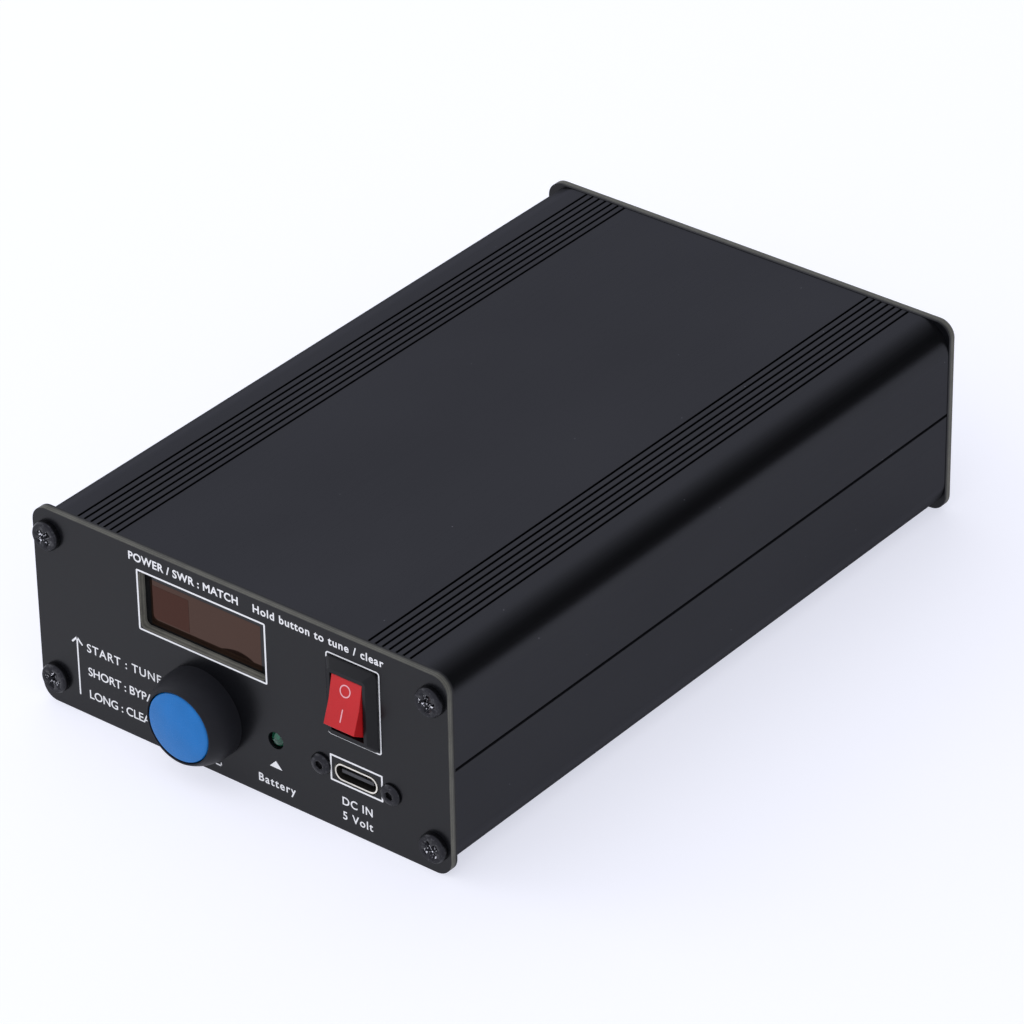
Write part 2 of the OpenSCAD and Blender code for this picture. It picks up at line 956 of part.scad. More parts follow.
module usb_screws() {
    socket_flats = 1.5;
    socket_depth = 0.6;
    edge = 0.25;
    color([0.12, 0.12, 0.12])
        at_usb()
            for (side = [-1, 1])
                translate([side * usb_screw_pitch / 2, front_y, 0])
                    difference() {
                        union() {
                            turned([
                                [0, -usb_screw_head_h],
                                [usb_screw_head_r - edge, -usb_screw_head_h],
                                [usb_screw_head_r, -usb_screw_head_h + edge],
                                [usb_screw_head_r, 0],
                                [0, 0]
                            ]);
                            rod(usb_screw_shank_r, 0, usb_screw_l);
                        }
                        hex_bar(socket_flats, -usb_screw_head_h - 1,
                            -usb_screw_head_h + socket_depth);
                    }
}

// ---- Charge light ----

module charge_led() {
    color([0.1, 0.5, 0.25])
        translate([led_x, 0, led_z]) {
            turned([
                [0, led_tip_y],
                for (a = [20, 40, 60, 80])
                    [led_r * sin(a), led_tip_y + led_r * (1 - cos(a))],
                [led_r, led_tip_y + led_r],
                [led_r, led_flange_y],
                [led_flange_r, led_flange_y],
                [led_flange_r, led_flange_y + 0.8],
                [led_r, led_flange_y + 0.8],
                [led_r, led_back_y],
                [0, led_back_y]
            ]);
        }
}

module charge_led_leads() {
    color([0.75, 0.75, 0.75])
        for (side = [-1, 1])
            translate([led_x + side * led_lead_spread / 2 - led_lead / 2, led_back_y, 0]) {
                translate([0, 0, led_z - led_lead / 2])
                    cube([led_lead, led_lead_end_y - led_back_y, led_lead]);
                translate([0, led_lead_end_y - led_back_y - led_lead, board_top_z])
                    cube([led_lead, led_lead, led_z - board_top_z]);
            }
}

// ---- Rear sockets ----

module at_bncs() {
    for (side = [-1, 1])
        translate([side * bnc_x, 0, socket_z])
            children();
}

module bnc_bodies() {
    color([0.75, 0.75, 0.76])
        at_bncs()
            difference() {
                union() {
                    rod(bnc_thread_r, bnc_rear_y, back_y + 1);
                    rod(bnc_flange_r, back_y, back_y + bnc_flange_t);
                    rod(bnc_barrel_r, back_y, bnc_mouth_y);
                    translate([0, bnc_mouth_y - bnc_lug_from_mouth, 0])
                        translate([-bnc_barrel_r - bnc_lug_reach, 0, 0])
                            rotate([0, 90, 0])
                                cylinder(r = bnc_lug_r, h = 2 * (bnc_barrel_r + bnc_lug_reach));
                }
                rod(bnc_cavity_r, bnc_mouth_y - bnc_cavity_l, bnc_mouth_y + 1);
                rod(bnc_insulator_r + bnc_insulator_clearance, bnc_rear_y - 1, bnc_mouth_y);
            }
}

module bnc_insulators() {
    front = bnc_mouth_y - 3;
    color([0.93, 0.93, 0.9])
        at_bncs()
            difference() {
                rod(bnc_insulator_r, bnc_rear_y, front);
                rod(bnc_contact_r + bnc_insulator_clearance, bnc_rear_y - 1, front + 1);
            }
}

module bnc_contacts() {
    front = bnc_mouth_y - 2.6;
    color([0.85, 0.7, 0.35])
        at_bncs()
            difference() {
                union() {
                    rod(bnc_contact_r, bnc_rear_y + 0.5, front);
                    rod(bnc_tail_r, bnc_rear_y - bnc_tail_l, bnc_rear_y + 1);
                }
                rod(bnc_contact_bore_r, front - bnc_contact_bore_l, front + 1);
            }
}

module bnc_solder_tags() {
    tag_l = 11;
    tag_w = 4;
    color([0.8, 0.78, 0.7])
        at_bncs()
            upright(bnc_tag_y, inner_back_y)
                difference() {
                    union() {
                        circle(6.5);
                        translate([-tag_w / 2, -tag_l])
                            square([tag_w, tag_l]);
                    }
                    circle(bnc_thread_r + 0.05);
                    translate([0, 1.5 - tag_l])
                        circle(0.8);
                }
}

module bnc_nuts() {
    color([0.72, 0.72, 0.73])
        at_bncs()
            difference() {
                hex_bar(bnc_nut_flats, bnc_tag_y - bnc_nut_t, bnc_tag_y);
                rod(bnc_thread_r + 0.05, bnc_tag_y - bnc_nut_t - 1, bnc_tag_y + 1);
            }
}

module control_jack() {
    mouth_y = back_y - panel_t + jack_thread_l;
    color([0.09, 0.09, 0.09])
        translate([0, 0, socket_z])
            difference() {
                union() {
                    translate([-jack_body[0] / 2, inner_back_y - jack_body[1], -jack_body[2] / 2])
                        cube(jack_body);
                    rod(jack_thread_r, inner_back_y - 1, mouth_y);
                }
                rod(jack_bore_r, mouth_y - jack_bore_l, mouth_y + 1);
            }
}

module control_jack_nut() {
    color([0.75, 0.75, 0.76])
        translate([0, 0, socket_z])
            difference() {
                rod(jack_nut_r, back_y, back_y + jack_nut_t);
                rod(jack_thread_r + 0.05, back_y - 1, back_y + jack_nut_t + 1);
                for (turn = [0, 90])
                    rotate([0, turn, 0])
                        translate([-jack_nut_r - 1, back_y + jack_nut_t - 0.7, -0.4])
                            cube([2 * jack_nut_r + 2, 1, 0.8]);
            }
}

// ---- Circuit ----

module main_board() {
    color([0.05, 0.3, 0.15])
        translate([-board_w / 2, board_front_y, board_bottom_z])
            cube([board_w, board_back_y - board_front_y, board_t]);
}

module tuning_relays() {
    color([0.9, 0.9, 0.88])
        for (x = relay_xs, i = [0:rows - 1])
            standing(relay, [x, row_y(i)], board_top_z);
}

module at_toroids() {
    for (i = toroid_rows)
        translate([coil_x, row_y(i), toroid_z])
            children();
}

module toroid_cores() {
    color([0.7, 0.15, 0.12])
        at_toroids()
            translate([0, 0, -toroid_h / 2])
                difference() {
                    cylinder(r = toroid_outer_r, h = toroid_h);
                    translate([0, 0, -1])
                        cylinder(r = toroid_inner_r, h = toroid_h + 2);
                }
}

module toroid_windings() {
    middle_r = (toroid_outer_r + toroid_inner_r) / 2;
    color([0.72, 0.38, 0.15])
        at_toroids()
            for (turn = [0:toroid_turns - 1])
                rotate(turn * toroid_turn_step)
                    translate([middle_r, 0, 0])
                        wire_ring(winding_r, winding_wire_r);
}

module air_coils() {
    color([0.72, 0.38, 0.15])
        for (i = air_coil_rows, turn = [0:air_coil_turns - 1])
            translate([coil_x, row_y(i) + (turn - (air_coil_turns - 1) / 2) * air_coil_pitch,
                air_coil_z])
                wire_ring(air_coil_r, air_coil_wire_r);
}

module tuning_capacitors() {
    color([0.75, 0.6, 0.4])
        for (i = [0:rows - 1])
            standing(capacitor, [capacitor_x, row_y(i)], board_top_z);
}

// Two-hole ferrite of the power and reflection bridge
module coupler_core() {
    color([0.25, 0.25, 0.26])
        difference() {
            standing(coupler, coupler_at, board_top_z);
            for (side = [-1, 1])
                translate([coupler_at[0] + side * coupler_bore_x, 0, board_top_z + coupler[2] / 2])
                    rod(coupler_bore_r, coupler_at[1] - coupler[1], coupler_at[1] + coupler[1]);
        }
}

module coupler_windings() {
    color([0.72, 0.38, 0.15])
        for (side = [-1, 1], turn = [-1, 0, 1])
            translate([coupler_at[0] + side * coupler_bore_x + turn * 1.1, 0,
                board_top_z + coupler[2] / 2])
                rod(coupler_wire_r, coupler_at[1] - coupler[1] / 2 - 0.8,
                    coupler_at[1] + coupler[1] / 2 + 0.8);
}

module controller_chip() {
    color([0.08, 0.08, 0.08])
        standing(controller, controller_at, board_top_z);
}

module driver_chips() {
    color([0.08, 0.08, 0.08])
        for (y = driver_ys)
            standing(driver, [driver_x, y], board_bottom_z - driver[2]);
}

// ---- Battery ----

module battery_cell() {
    color([0.2, 0.45, 0.7])
        translate([holder_at[0], holder_at[1], cell_z])
            rod(cell_r, -cell_l / 2, cell_l / 2);
}

module battery_holder() {
    color([0.08, 0.08, 0.08])
        difference() {
            standing(holder, holder_at, board_top_z);
            standing([holder[0] - 2 * holder_wall, holder[1] - 2 * holder_wall, holder[2]],
                holder_at, board_top_z + holder_floor);
        }
}

// A plate against each end wall of the holder, with a pad that presses on the cell
module battery_contacts() {
    plate_y = holder[1] / 2 - holder_wall - contact_plate[1];
    color([0.8, 0.8, 0.8])
        for (side = [0, 180])
            translate([holder_at[0], holder_at[1], cell_z])
                rotate([0, 0, side]) {
                    translate([-contact_plate[0] / 2, plate_y, -contact_plate[2] / 2])
                        cube(contact_plate);
                    rod(contact_pad_r, cell_l / 2 + 0.05, plate_y + 0.1);
                }
}

// ---- Wiring ----

module wire_plugs() {
    color([0.9, 0.9, 0.88])
        for (x = plug_xs)
            standing(plug, [x, plug_y], board_top_z);
}

// Wires that rise from their starts, loop over and drop into the plug at x
module wires_to_plug(starts, x, rise, spacing = wire_gap, r = wire_r) {
    for (i = [0:len(starts) - 1])
        let (a = starts[i] + [0, r + 0.05, 0],
            d = [x + (i - (len(starts) - 1) / 2) * spacing, plug_y, plug_top_z + wire_end_gap])
            wire(curve(a, a + rise, d + [0, 0, 8], d), r);
}

module button_wires() {
    color([0.75, 0.1, 0.1])
        wires_to_plug([for (side = [-1, 1])
            [button_x + side * terminal_spread, button_end_y + button_tail_blade_l, button_z + 0.8]],
            button_plug_x, [0, 2, 10]);
}

module switch_wires() {
    color([0.75, 0.1, 0.1])
        wires_to_plug([for (z = [0, contact_z])
            [switch_x, switch_floor_y + switch_floor_t + blade_tail_l, switch_z + z]],
            switch_plug_x, [0, 7, 2]);
}

module usb_wires() {
    color([0.1, 0.1, 0.1])
        wires_to_plug([for (side = [-1, 1])
            [usb_x + side * wire_gap, inner_front_y + usb_flange[1] + usb_board[1] + 0.1, usb_z]],
            usb_plug_x, [0, 4, 8]);
}

module display_cable() {
    pin_end_y = oled_board_y + oled_board[1] + oled_pin_block[1] + oled_pin_l;
    color([0.6, 0.6, 0.62])
        wires_to_plug([for (i = [0:oled_pins - 1])
            [oled_pin_x, pin_end_y, oled_z + (i - (oled_pins - 1) / 2) * oled_pin_pitch]],
            display_plug_x, [0, 8, 0], 1, display_wire_r);
}

module coax_links() {
    color([0.75, 0.6, 0.35])
        for (side = [-1, 1])
            let (a = [side * bnc_x, bnc_rear_y - bnc_tail_l - 0.2, socket_z],
                d = [side * bnc_x, board_back_y - 4.5, board_top_z + wire_end_gap])
                wire(curve(a, a + [0, -3, 0], d + [0, 0, 4], d), coax_r);
}

upper_shell();
lower_shell();
front_panel();
rear_panel();
front_panel_screws();
rear_panel_screws();
display_glass();
display_board();
display_tape();
display_header();
display_pins();
button_housing();
button_washer();
button_nut();
button_cap();
button_plunger();
button_contact();
button_spring();
button_terminals();
switch_housing();
power_rocker();
rocker_plunger();
switch_contact();
switch_terminals();
usb_shell();
usb_tongue();
usb_flange();
usb_board();
usb_screws();
charge_led();
charge_led_leads();
bnc_bodies();
bnc_insulators();
bnc_contacts();
bnc_solder_tags();
bnc_nuts();
control_jack();
control_jack_nut();
main_board();
tuning_relays();
toroid_cores();
toroid_windings();
air_coils();
tuning_capacitors();
coupler_core();
coupler_windings();
controller_chip();
driver_chips();
battery_cell();
battery_holder();
battery_contacts();
wire_plugs();
button_wires();
switch_wires();
usb_wires();
display_cable();
coax_links();
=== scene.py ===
"""An automatic antenna tuner: a split black extruded case with a display, a tune button,
a rocker switch and a charging port on the front, and three sockets on the back.

Lengths in this script are millimetres unless a name says otherwise. MM turns them into metres.
X is the width, Y runs from the front panel to the back, Z is up.
"""

import json
import math

import bmesh
import bpy
from mathutils import Matrix, Quaternion, Vector


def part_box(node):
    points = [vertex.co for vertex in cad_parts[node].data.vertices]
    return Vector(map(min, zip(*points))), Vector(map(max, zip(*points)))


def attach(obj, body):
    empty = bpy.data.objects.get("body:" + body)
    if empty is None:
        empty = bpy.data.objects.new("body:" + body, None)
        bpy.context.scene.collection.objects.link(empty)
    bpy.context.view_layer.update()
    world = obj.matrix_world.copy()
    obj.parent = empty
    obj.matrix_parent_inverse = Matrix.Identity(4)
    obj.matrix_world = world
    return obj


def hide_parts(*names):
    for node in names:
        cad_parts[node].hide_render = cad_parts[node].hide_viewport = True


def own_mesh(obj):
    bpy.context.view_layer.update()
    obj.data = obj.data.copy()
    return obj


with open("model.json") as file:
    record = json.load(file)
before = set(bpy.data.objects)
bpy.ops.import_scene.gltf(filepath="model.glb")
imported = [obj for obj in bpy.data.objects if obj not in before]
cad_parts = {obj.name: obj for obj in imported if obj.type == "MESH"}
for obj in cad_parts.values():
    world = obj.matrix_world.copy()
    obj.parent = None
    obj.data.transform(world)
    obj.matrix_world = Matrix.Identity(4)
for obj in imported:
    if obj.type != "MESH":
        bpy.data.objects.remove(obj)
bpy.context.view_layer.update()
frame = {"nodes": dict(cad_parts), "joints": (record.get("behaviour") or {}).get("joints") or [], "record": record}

MM = 0.001
scene = bpy.context.scene
NODES = frame["nodes"]


# ---- Places, taken from the frame ----


def corners(node):
    """A CAD node's lowest and highest corners."""
    low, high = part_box(node)
    return low / MM, high / MM


def middle(node):
    low, high = corners(node)
    return (low + high) / 2


FRONT_Y = corners("front_panel")[0].y
PANEL_BACK_Y = corners("front_panel")[1].y
REAR_Y = corners("rear_panel")[1].y
BUTTON = middle("button_cap")
SWITCH = middle("switch_housing")
PORT = middle("usb_shell")
LIGHT = middle("charge_led")
JOINTS = {joint["name"]: joint for joint in frame["joints"]}
PIVOT = Vector(JOINTS["power_rocker_tilt"]["pos_m"]) / MM


# ---- Camera, light and floor ----

# The camera aims at TARGET, from a fitted distance with a long lens.
TARGET = Vector((1.13, 0.21, 18.13))
AZIMUTH = math.radians(38.87)
ELEVATION = math.radians(32.0)
ROLL = math.radians(-1.0)
DISTANCE = 972
LENS = 200.28


def direction(azimuth, elevation):
    """A unit vector from the object towards a place. Azimuth 0 is in front, and +X is to the right."""
    flat = math.cos(elevation)
    return Vector((math.sin(azimuth) * flat, -math.cos(azimuth) * flat, math.sin(elevation)))


def add_camera():
    away = direction(AZIMUTH, ELEVATION)
    data = bpy.data.cameras.new("camera")
    data.lens = LENS
    data.sensor_width = 36
    camera = bpy.data.objects.new("camera", data)
    camera.location = (TARGET + away * DISTANCE) * MM
    camera.rotation_mode = "QUATERNION"
    level = (-away).to_track_quat("-Z", "Y")
    camera.rotation_quaternion = level @ Quaternion((0, 0, 1), ROLL)
    scene.collection.objects.link(camera)
    scene.camera = camera


def add_softbox(name, azimuth, elevation, distance, size, power, colour=(1, 1, 1)):
    """A square area light that faces the object. Distance and size are in metres."""
    towards = direction(math.radians(azimuth), math.radians(elevation))
    data = bpy.data.lights.new(name, "AREA")
    data.shape = "RECTANGLE"
    data.size, data.size_y = size
    data.energy = power
    data.color = colour
    light = bpy.data.objects.new(name, data)
    light.location = towards * distance
    light.rotation_mode = "QUATERNION"
    light.rotation_quaternion = (-towards).to_track_quat("-Z", "Y")
    scene.collection.objects.link(light)


# ---- Nodes of a material ----


def node(tree, kind, inputs=None, **settings):
    """A shader node, with its inputs linked or set by name or number."""
    made = tree.nodes.new(kind)
    for key, value in settings.items():
        setattr(made, key, value)
    for key, value in (inputs or {}).items():
        if isinstance(value, bpy.types.NodeSocket):
            tree.links.new(value, made.inputs[key])
        else:
            made.inputs[key].default_value = value
    return made


class Finish:
    """A material with one Principled shader, and short calls for the patterns that feed it."""

    def __init__(self, name, colour, **sockets):
        self.data = bpy.data.materials.new(name)
        self.data.use_nodes = True
        self.tree = self.data.node_tree
        self.shader = self.tree.nodes["Principled BSDF"]
        self.place = self.add("ShaderNodeTexCoord").outputs["Object"]
        self.set("Base Color", (*colour, 1))
        for key, value in sockets.items():
            self.set(key.replace("_", " "), value)

    def add(self, kind, inputs=None, **settings):
        return node(self.tree, kind, inputs, **settings)

    def set(self, key, value):
        if isinstance(value, bpy.types.NodeSocket):
            self.tree.links.new(value, self.shader.inputs[key])
        else:
            self.shader.inputs[key].default_value = value

    def at(self, scale):
        """Object coordinates in millimetres, times scale."""
        per_metre = tuple(s / MM for s in scale)
        return self.add("ShaderNodeMapping", {"Vector": self.place, "Scale": per_metre}).outputs["Vector"]

    def noise(self, scale, detail=3.0, roughness=0.55):
        """Noise with so many blobs in a millimetre along each axis."""
        inputs = {"Vector": self.at(scale), "Scale": 1.0, "Detail": detail, "Roughness": roughness}
        return self.add("ShaderNodeTexNoise", inputs).outputs["Fac"]

    def cells(self, scale):
        """The distance to the nearest of so many scattered points in a millimetre along each axis."""
        return self.add("ShaderNodeTexVoronoi", {"Vector": self.at(scale), "Scale": 1.0}).outputs["Distance"]

    def spread(self, value, low, high, start=0.3, end=0.7):
        """value, taken from start to end, as a number from low to high."""
        inputs = {"Value": value, "From Min": start, "From Max": end, "To Min": low, "To Max": high}
        return self.add("ShaderNodeMapRange", inputs).outputs["Result"]

    def maths(self, operation, a, b=0.0):
        return self.add("ShaderNodeMath", {0: a, 1: b}, operation=operation).outputs[0]

    def mix(self, share, a, b):
        """Colour a, turning into colour b as share goes from 0 to 1."""
        a, b = ((*c, 1) if isinstance(c, tuple) else c for c in (a, b))
        factor, first, second, result = 0, 6, 7, 2
        inputs = {factor: share, first: a, second: b}
        return self.add("ShaderNodeMix", inputs, data_type="RGBA").outputs[result]

    def axis(self, which):
        """One coordinate of the place, in millimetres."""
        split = self.add("ShaderNodeSeparateXYZ", {"Vector": self.at((1, 1, 1))})
        return split.outputs[which]

    def matt_at_grazing(self, rough):
        """Roughness that rises towards the outline, where a fine grain stops mirroring."""
        facing = self.add("ShaderNodeLayerWeight", {"Blend": 0.5}).outputs["Facing"]
        return self.maths("MAXIMUM", rough, self.spread(facing, 0.25, 0.9, 0.55, 0.92))

    def bump(self, height, depth):
        """Raises the surface by height times depth, in millimetres."""
        inputs = {"Height": height, "Distance": depth * MM, "Strength": 1.0}
        previous = self.shader.inputs["Normal"]
        if previous.is_linked:
            inputs["Normal"] = previous.links[0].from_socket
        self.set("Normal", self.add("ShaderNodeBump", inputs).outputs["Normal"])


def shade(colour, factor):
    return tuple(min(1, c * factor) for c in colour)


# ---- Finishes ----


ANODISED = (0.0345, 0.0350, 0.0375)
LACQUER = (0.0040, 0.0042, 0.0050)


def anodised():
    """Black anodised aluminium: a fine satin grain, faint lines along the extrusion and stray dust."""
    f = Finish("anodised_black", ANODISED, Metallic=0.9, Specular_IOR_Level=0.2)
    f.set("Specular Tint", (0.52, 0.52, 0.54, 1))
    lines = f.noise((9, 0.012, 9), detail=4)
    grain = f.noise((14, 14, 14), detail=2)
    cloud = f.noise((0.035, 0.02, 0.035), detail=2)
    tone = f.mix(f.spread(cloud, 0, 1), shade(ANODISED, 0.93), shade(ANODISED, 1.06))
    tone = f.mix(f.spread(lines, 0, 0.35), tone, shade(ANODISED, 1.15))
    specks = f.cells((0.22, 0.22, 0.22))
    dust = f.maths("LESS_THAN", specks, 0.022)
    f.set("Base Color", f.mix(dust, tone, (0.15, 0.15, 0.16)))
    rough = f.maths("ADD", f.spread(grain, 0.28, 0.34), f.spread(lines, -0.02, 0.02))
    f.set("Roughness", f.matt_at_grazing(rough))
    f.bump(grain, 0.003)
    f.bump(lines, 0.002)
    return f.data


def solder_mask():
    """Semi-gloss black printed-circuit lacquer: even, with a faint orange-peel."""
    f = Finish("panel_lacquer", LACQUER, Specular_IOR_Level=0.24)
    peel = f.noise((1.6, 1.6, 1.6), detail=3)
    grain = f.noise((22, 22, 22), detail=1)
    f.set("Base Color", f.mix(f.spread(peel, 0, 1), shade(LACQUER, 0.85), shade(LACQUER, 1.2)))
    f.set("Roughness", f.matt_at_grazing(f.spread(grain, 0.22, 0.27)))
    f.bump(peel, 0.003)
    f.bump(grain, 0.0015)
    return f.data


def bare_fibreglass(name, painted_light_factor, layer, painted_shade_at_case):
    """The cut edge of a circuit board: layers of glass cloth in resin, one every so many millimetres.
    An outer edge darkens to near black towards the case: painted shade where it meets the case."""
    f = Finish(name, (0.11, 0.11, 0.10), Roughness=0.7, Specular_IOR_Level=0.3)
    depth = f.maths("ABSOLUTE", f.axis("Y"))
    cloth = f.maths("SINE", f.maths("MULTIPLY", depth, math.tau / layer))
    weave = f.noise((3, 5, 3), detail=4, roughness=0.7)
    patches = f.noise((0.25, 0.25, 0.25), detail=3)
    resin = shade((0.070, 0.069, 0.058), painted_light_factor)
    glass = shade((0.170, 0.166, 0.134), painted_light_factor)
    tone = f.mix(f.spread(cloth, 0, 1, -0.6, 0.8), resin, glass)
    tone = f.mix(f.spread(weave, 0, 0.8), tone, shade(resin, 0.8))
    tone = f.mix(f.spread(patches, 0, 0.35), tone, shade(glass, 1.1))
    # Painted shade: near black over the part of an outer edge next to the case.
    if painted_shade_at_case:
        inner = abs(PANEL_BACK_Y)
        tone = f.mix(f.spread(depth, 1, 0, inner + 0.25, inner + 0.75), tone, (0.012, 0.012, 0.013))
    f.set("Base Color", tone)
    f.bump(weave, 0.03)
    return f.data


def ink(name, colour):
    """Screen-printed ink, slightly thin in places."""
    f = Finish(name, colour, Roughness=0.55)
    thin = f.noise((7, 7, 7), detail=3)
    f.set("Base Color", f.mix(f.spread(thin, 0, 1), shade(colour, 0.84), colour))
    f.bump(thin, 0.006)
    return f.data


def plastic(name, colour, roughness=0.42, grain=9.0, depth=0.004, level=0.5):
    """Moulded plastic: a fine spark-eroded grain and slow changes of tone."""
    f = Finish(name, colour, Specular_IOR_Level=level)
    texture = f.noise((grain, grain, grain), detail=3)
    flow = f.noise((0.13, 0.13, 0.13), detail=2)
    f.set("Base Color", f.mix(f.spread(flow, 0, 1), shade(colour, 0.9), shade(colour, 1.08)))
    f.set("Roughness", f.spread(texture, roughness - 0.04, roughness + 0.05))
    f.bump(texture, depth)
    return f.data


def metal(name, colour, roughness=0.25, grain=(8, 8, 8), depth=0.002, dull=0.75):
    """Plated or bare metal with fine marks along its grain and duller patches."""
    f = Finish(name, colour, Metallic=1.0)
    marks = f.noise(grain, detail=4)
    patches = f.noise((0.45, 0.45, 0.45), detail=3)
    f.set("Base Color", f.mix(f.spread(patches, 0, 1), shade(colour, dull), colour))
    rough = f.maths("ADD", f.spread(marks, -0.04, 0.05), f.spread(patches, roughness, roughness + 0.1))
    f.set("Roughness", rough)
    f.bump(marks, depth)
    return f.data


def black_oxide():
    """Blackened steel: dark, slightly oily, worn brighter on its high marks."""
    f = Finish("black_oxide", (0.03, 0.03, 0.033), Metallic=0.9, Specular_IOR_Level=0.2)
    marks = f.noise((5, 5, 5), detail=4)
    worn = f.noise((1.9, 1.9, 1.9), detail=5, roughness=0.75)
    f.set("Base Color", f.mix(f.spread(worn, 0, 1, 0.55, 0.8), (0.026, 0.026, 0.029), (0.12, 0.12, 0.125)))
    f.set("Roughness", f.spread(marks, 0.24, 0.42))
    f.bump(marks, 0.012)
    return f.data


def worn_steel():
    """Where a driver and other parts have rubbed the black off, in flecks."""
    f = Finish("worn_steel", (0.30, 0.30, 0.31), Metallic=1.0)
    marks = f.noise((2.6, 2.6, 2.6), detail=4, roughness=0.6)
    f.set("Base Color", f.mix(f.spread(marks, 0, 1, 0.55, 0.63), (0.016, 0.016, 0.018), (0.80, 0.80, 0.82)))
    f.set("Roughness", f.spread(marks, 0.26, 0.12))
    f.bump(marks, 0.05)
    return f.data


def display_face():
    """Plain dark glass round the film."""
    f = Finish("display_face", (0.004, 0.0042, 0.005), Roughness=0.08, Specular_IOR_Level=0.3)
    haze = f.noise((0.25, 0.25, 0.25), detail=2)
    f.set("Base Color", f.mix(f.spread(haze, 0, 1), (0.003, 0.0032, 0.004), (0.005, 0.0055, 0.006)))
    f.bump(haze, 0.002)
    return f.data


def display_film(name, tint, gloss, tone):
    """The brown polariser: what it mirrors takes its tint. Fine electrodes rule the area below it."""
    f = Finish(name, tone, Roughness=0.03, IOR=gloss)
    f.set("Specular Tint", (*tint, 1))
    columns = f.add("ShaderNodeTexWave", {"Vector": f.at((1, 0, 0)), "Scale": 0.9, "Distortion": 0.0},
                    wave_type="BANDS", bands_direction="X").outputs["Fac"]
    haze = f.noise((0.25, 0.25, 0.25), detail=2)
    ruled = f.mix(columns, shade(tone, 0.75), shade(tone, 1.25))
    f.set("Base Color", f.mix(f.spread(haze, 0, 0.5), ruled, shade(tone, 0.6)))
    f.bump(haze, 0.002)
    return f.data


def green_lens():
    """The light's clear green epoxy."""
    f = Finish("green_lens", (0.02, 0.20, 0.10), Roughness=0.12, IOR=1.5)
    f.set("Transmission Weight", 0.75)
    swirl = f.noise((1.4, 1.4, 1.4), detail=2)
    f.set("Base Color", f.mix(f.spread(swirl, 0, 1), (0.015, 0.15, 0.075), (0.03, 0.26, 0.14)))
    f.bump(swirl, 0.004)
    return f.data


def circuit_board(name, mask, track):
    """Lacquered circuit board with tracks just showing under the lacquer."""
    f = Finish(name, mask, Roughness=0.35)
    across = f.add("ShaderNodeTexBrick", {"Vector": f.at((1, 1, 1)), "Scale": 0.42, "Mortar Size": 0.06,
                   "Color1": (0, 0, 0, 1), "Color2": (0, 0, 0, 1), "Mortar": (1, 1, 1, 1)},
                   offset=0.37, squash=1.6).outputs["Color"]
    blotch = f.noise((0.3, 0.3, 0.3), detail=3)
    tracks = f.mix(across, mask, track)
    f.set("Base Color", f.mix(f.spread(blotch, 0, 0.4), tracks, shade(mask, 0.7)))
    f.bump(across, 0.03)
    return f.data


def enamelled_wire(name, colour):
    f = Finish(name, colour, Metallic=0.9)
    marks = f.noise((3, 3, 3), detail=3)
    f.set("Base Color", f.mix(f.spread(marks, 0, 1), shade(colour, 0.7), colour))
    f.set("Roughness", f.spread(marks, 0.22, 0.36))
    f.bump(marks, 0.004)
    return f.data


# Colour, then roughness, grain, depth of the grain and specular level where they aren't the usual ones.
PLASTICS = {
    "foam_white": ((0.72, 0.71, 0.66), 0.9, 3.0, 0.05, 0.2),
    "plastic_black": ((0.02, 0.02, 0.021), 0.5),
    "plastic_grey": ((0.034, 0.034, 0.037), 0.45),
    "plastic_white": ((0.76, 0.75, 0.70), 0.4),
    "button_black": ((0.0120, 0.0123, 0.0148), 0.52, 11.0, 0.004, 0.15),
    "button_blue": ((0.003, 0.142, 0.420), 0.25, 10.0, 0.002, 0.27),
    "switch_black": ((0.0045, 0.0047, 0.0055), 0.34, 8.0, 0.004, 0.2),
    "rocker_red": ((0.49, 0.013, 0.015), 0.30, 9.0, 0.003, 0.26),
    "relay_white": ((0.74, 0.74, 0.70), 0.45),
    "core_red": ((0.42, 0.03, 0.025), 0.55, 4.0, 0.02),
    "capacitor_tan": ((0.50, 0.33, 0.16), 0.5, 3.0, 0.02),
    "ferrite": ((0.045, 0.045, 0.048), 0.6, 5.0, 0.02),
    "chip_black": ((0.018, 0.018, 0.018), 0.55, 7.0, 0.008),
    "cell_blue": ((0.03, 0.16, 0.42), 0.3, 1.5, 0.01),
    "wire_red": ((0.50, 0.02, 0.02), 0.42, 3.0, 0.01),
    "wire_black": ((0.02, 0.02, 0.02), 0.42, 3.0, 0.01),
    "ribbon_grey": ((0.30, 0.30, 0.31), 0.5, 3.0, 0.01),
    "coax_tan": ((0.45, 0.27, 0.09), 0.4, 3.0, 0.01),
}

# Colour, roughness and the grain along each axis.
METALS = {
    "contact_gold": ((0.90, 0.66, 0.28), 0.2),
    "tinned_brass": ((0.72, 0.70, 0.64), 0.28),
    "steel_plated": ((0.62, 0.62, 0.63), 0.28),
    "usb_shell": ((0.90, 0.86, 0.76), 0.2, (4, 12, 4)),
    # Painted shade: a dark copy of the shell's metal for the inside of the port.
    "usb_inside_painted_shade": ((0.10, 0.095, 0.085), 0.5, (4, 12, 4)),
    "nickel": ((0.70, 0.69, 0.66), 0.18, (2, 16, 2)),
}


